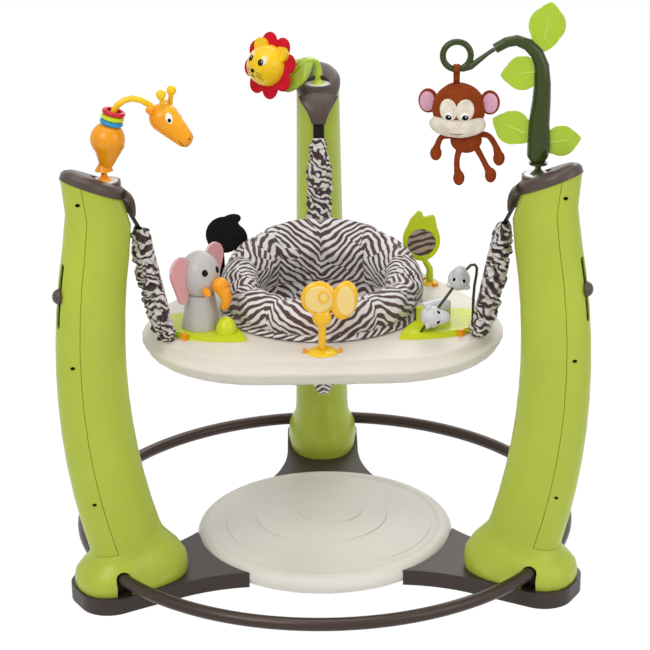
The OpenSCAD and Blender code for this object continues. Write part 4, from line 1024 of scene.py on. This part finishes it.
def elephant_details():
    """Eyes, and the pale rims of the ears where they stand clear of the head."""
    own = frame_at((-204.9, -106.4, 545.3), (-34.6, "Z"))
    half = (34, 34, 41)
    for name, az in (("near", -37), ("far", 13)):
        a = math.radians(az)
        way = (math.cos(a), math.sin(a), 0.38)
        eye = spot(f"elephant_eye_{name}", "black_gloss", own, half, way, (5.2, 5.8), 1.5)
        ride(eye, "elephant", "grey_plastic")
    big, small = np.array((47.0, 17.0)), np.array((40.0, -30.0))
    lean = big - small
    start = math.atan2(lean[1], lean[0])
    spread = math.acos((EAR_BIG_R - EAR_SMALL_R) / np.linalg.norm(lean))
    edge = [big + (EAR_BIG_R - EAR_RIM_INSET) * np.array((math.cos(q), math.sin(q)))
            for q in np.linspace(start + spread, start - spread, 26)]
    edge += [small + (EAR_SMALL_R - EAR_RIM_INSET) * np.array((math.cos(q), math.sin(q)))
             for q in np.linspace(start - spread, start + spread - math.tau, 18)]
    clear = [(y, z) for y, z in edge if (y / 33) ** 2 + (z / 40) ** 2 > 1]
    for name, side in (("near", -1), ("far", 1)):
        path = [inside(own, (-5.5, side * y, z)) for y, z in clear]
        rim = tube(f"elephant_ear_rim_{name}", smooth_path(path, 2), 2.6, "ear_edge", 12)
        ride(rim, "elephant", "grey_plastic")


BEAD_POD = frame_at((200.06, -109.98, TRAY_Z), (36.6, "Z"))
BEAD_SLOPE = math.degrees(math.atan2(98 - 15, 42 + 51))


# Eyes of a bead: part, look, half sizes and lift
BEAD_EYES = (("white", "eye_white", (4.2, 4.8), 0.0), ("eye", "black_gloss", (2.9, 3.5), 0.8))
BEAD_HALF = (19, 19, 19)


def bead_faces():
    """Eyes and ears of the two animals on the wire, round each one's snout."""
    beads = (("low", "low_bead", 24, ((30, "Z"), (60, "X")), -160),
             ("high", "high_bead", 104, ((-60, "Z"), (70, "X")), -61))
    for name, body, far, nose, facing in beads:
        own = BEAD_POD @ frame_at((-51, -14, 15), (90 - BEAD_SLOPE, "Y")) @ frame_at((0, 0, far), *nose)
        own = own @ Matrix.Rotation(math.radians(facing), 4, "Z")
        for eye, side in (("one", -1), ("two", 1)):
            way = (11, side * 7.6, 12)
            for part, look, size, lift in BEAD_EYES:
                mark = spot(f"bead_{name}_{part}_{eye}", look, own, BEAD_HALF, way, size, 1.0, lift=lift)
                ride(mark, body, "grey_plastic")
            place = inside(own, (11, side * 14, -4))
            ear = ball(f"bead_{name}_ear_{eye}", "bead_grey", place, (5.5, 6.5, 4.5), own.to_3x3(), 0.0, 12)
            ride(ear, body, "grey_plastic")


# Leaves of the vine: place beside and above the socket, turn in degrees, and reach
VINE_LEAVES = ((10, 246, 80, 34), (-31, 166, 186, 32), (-45, 79, 156, 32), (39, 55, 8, 29))


def leaf_veins():
    """Raised middle vein on the near face of each leaf of the vine."""
    for k, (x, z, turn, reach) in enumerate(VINE_LEAVES):
        way = np.array((math.cos(math.radians(turn)), 0, math.sin(math.radians(turn))))
        middle = socket("right", x, -2.1, z)
        line = [np.add(middle, way * reach * share) for share in np.linspace(-0.75, 0.35, 9)]
        vein = tube(f"leaf_vein_{k}", line, np.linspace(1.2, 0.5, 9), "lime_vein", 8)
        ride(vein, "vine", "lime_plastic")


TEETHER_AT = polar(269.5, 216, 0, TRAY_Z + 0.3)
# Windows of the teether: place on it and half sizes
TEETHER_WINDOWS = (("large", (-5, -6.9, 94), 22.5, 22.5), ("small", (39, -7.6, 91), 15, 25))


def teether_windows():
    """Pale clear windows of the teether's two discs, and the small oval ring in the larger one."""
    front = (0, -1, 0)
    for name, at, half_w, half_h in TEETHER_WINDOWS:
        place = np.add(TEETHER_AT, at)
        window = button(f"teether_window_{name}", "amber_pale", place, front, half_w, half_h, 1.5, sink=4.0)
        ride(window, "teether_toy", "yellow_plastic")
    turns = [math.tau * k / 40 for k in range(41)]
    oval = [np.add(TEETHER_AT, (3 + 7.5 * math.cos(q), -8.0, 99 + 9.5 * math.sin(q))) for q in turns]
    ride(tube("teether_ring", oval, 2.0, "yellow_clear", 12), "teether_toy", "yellow_plastic")


LEAF_AT = polar(143, 222, 0, TRAY_Z + 0.3)


def black_leaf():
    """Stuffed black leaf on its stem."""
    own = frame_at(tuple(np.add(LEAF_AT, (8, 1.5, 92))), (90, "X"))
    edge = star_outline([(-2, -2, 33, 34, 0), (18, -7, 21, 25, 15), (10, 25, 19, 11, 18)])
    leaf = pillow("black_leaf", "leaf_black", own, edge, 3.0, 3.9, 0.3)
    ride(leaf, "leaf_toy", "black_cloth", "dark_leaf")
    stem = [np.add(LEAF_AT, (0, 0, z)) for z in (8.4, 20, 34, 48, 62, 70)]
    post = tube("black_leaf_stem", stem, (6.4, 6.4, 6.0, 5.4, 4.4, 3.4), "black_gloss")
    ride(post, "leaf_toy", "black_cloth", "dark_leaf")


MONKEY = socket("right", -132, 0, 196 - 27)
MONKEY_HEAD = frame_at(tuple(np.add(MONKEY, (4, 0, -59))), (-10, "Z"))
MONKEY_BODY_Z = -111


def stuffed(piece, *replaced):
    """Plush piece of the monkey."""
    ride(piece, "monkey", "brown_plush", *replaced)


def monkey_head():
    """Head with its muzzle, ears, eyes and smile."""
    half = (42, 35.3, 42)
    turn = MONKEY_HEAD.to_3x3()
    front = turned(MONKEY_HEAD, (0, -1, 0))

    def mark(name, look, way, size, dome, up=(0, 0, 1), lift=0.0):
        ride(spot(name, look, MONKEY_HEAD, half, way, size, dome, up, lift), "monkey", "brown_plush")

    middle = inside(MONKEY_HEAD, (0, 0, 0))
    stuffed(ball("monkey_head_plush", "monkey_brown", middle, half, turn, 0.025, 28), "monkey_head")
    chin = frame_at(tuple(inside(MONKEY_HEAD, (0, -12, -22))), (-10, "Z"))
    wide = (45, 28, 21.5)
    stuffed(ball("monkey_muzzle", "monkey_cream", inside(chin, (0, 0, 0)), wide, turn, 0.03, 24))
    for name, side in (("left", -1), ("right", 1)):
        place = inside(MONKEY_HEAD, (side * 49, 2, 11))
        ear = ball(f"monkey_ear_{name}", "monkey_brown", place, (16, 6.4, 20), turn, 0.02, 16)
        stuffed(ear, "monkey_head")
        place = inside(MONKEY_HEAD, (side * 50, -3.2, 11))
        pink = button(f"monkey_ear_pink_{name}", "monkey_pink", place, front, 12, 16, 1.8)
        ride(pink, "monkey", "brown_plush")
        lean = (side * 0.2, 0, 1)
        mark(f"monkey_brow_{name}", "monkey_cream", (side * 12.5, -31, 5), (14.5, 18), 1.4, lean, -0.6)
        x = side * 12
        mark(f"monkey_eye_{name}", "eye_white", (x, -31.5, -4.5), (7.4, 7.4), 1.8, lift=0.6)
        mark(f"monkey_pupil_{name}", "black_gloss", (x + 0.6, -31.5, -5.2), (5.2, 4.6), 1.2, lift=2.0)
        mark(f"monkey_glint_{name}", "eye_white", (x + 1.8, -31.8, -3.6), (1.1, 1.2), 0.4, lift=3.1)
    smile = [(x, -24, -8 - 3 * math.cos(x * 0.12)) for x in range(-10, 11, 4)]
    mouth = line_on_ball("monkey_smile", "monkey_brown", chin, wide, smile, 0.6)
    ride(mouth, "monkey", "brown_plush")


def monkey_body():
    """Body, and four limbs with their paws."""
    middle = np.add(MONKEY, (16, 0, MONKEY_BODY_Z))
    stuffed(ball("monkey_body_plush", "monkey_brown", middle, (25, 17, 21), None, 0.03, 20), "monkey_body")
    # Each limb from the body to its paw: x from the tie, z from the middle of the body
    limbs = [[(-4, 8), (-22, 6), (-29, -6), (-32, -18)], [(36, 10), (52, 6), (63, -10), (69, -28)],
             [(6, -14), (2, -30), (2, -46), (5, -60)], [(31, -10), (41, -28), (49, -44), (56, -56)]]
    for k, points in enumerate(limbs):
        path = smooth_path([np.add(MONKEY, (x, 0, MONKEY_BODY_Z + z)) for x, z in points], 6)
        radii = np.interp(np.linspace(0, 3, len(path)), (0, 1, 2, 3), (5.4, 4.6, 4.8, 7.6))
        stuffed(tube(f"monkey_limb_{k}", path, radii, "monkey_brown", 18), "monkey_limbs")
        foot = np.add(MONKEY, (points[3][0], 0, MONKEY_BODY_Z + points[3][1] - 3))
        paw = ball(f"monkey_paw_{k}", "monkey_brown", foot, (9.3, 8.6, 12.2), None, 0.03, 14)
        stuffed(paw, "monkey_limbs")


def monkey_strap():
    """Cloth tie from the monkey's head up and round the link of the vine."""
    loop_r = 6.9
    turns = [math.radians(q) for q in range(8, 356, 12)]
    loop = [(loop_r * math.sin(q), 5 - loop_r * math.cos(q)) for q in turns]
    line = [(1.2, -17.5), (1.2, -10), (1.2, -4)] + loop + [(-1.2, -4), (-1.2, -10), (-1.2, -17.5)]
    widths = (-5, -2.5, 0, 2.5, 5)
    tie, run = ribbon("monkey_strap", "monkey_brown", line, widths, lambda *point: np.add(MONKEY, point))
    thicken(tie, 1.2)
    ride(tie, "monkey", "brown_plush", "monkey_tie")


FLOOR_HALF = 6000
FLOOR_Z = -0.6


camera()
for values in LAMPS:
    lamp(*values)
white_world()
corners = ((-1, -1), (1, -1), (1, 1), (-1, 1))
floor = mesh("floor", [(x * FLOOR_HALF, y * FLOOR_HALF, FLOOR_Z) for x, y in corners], [(0, 1, 2, 3)],
             "floor_white")
scene.view_settings.view_transform = "Standard"

for look, names in CAD_LOOKS.items():
    for name in names:
        dress(name, look)
seat_rim()
seat_bag()
seat_hem()
giraffe_face()
lion_details()
lion_leaf()
elephant_details()
bead_faces()
leaf_veins()
teether_windows()
black_leaf()
monkey_head()
monkey_body()
monkey_strap()
for tower in TOWERS:
    spring_coil(tower)
    spring_cover(tower)
    strap(tower)
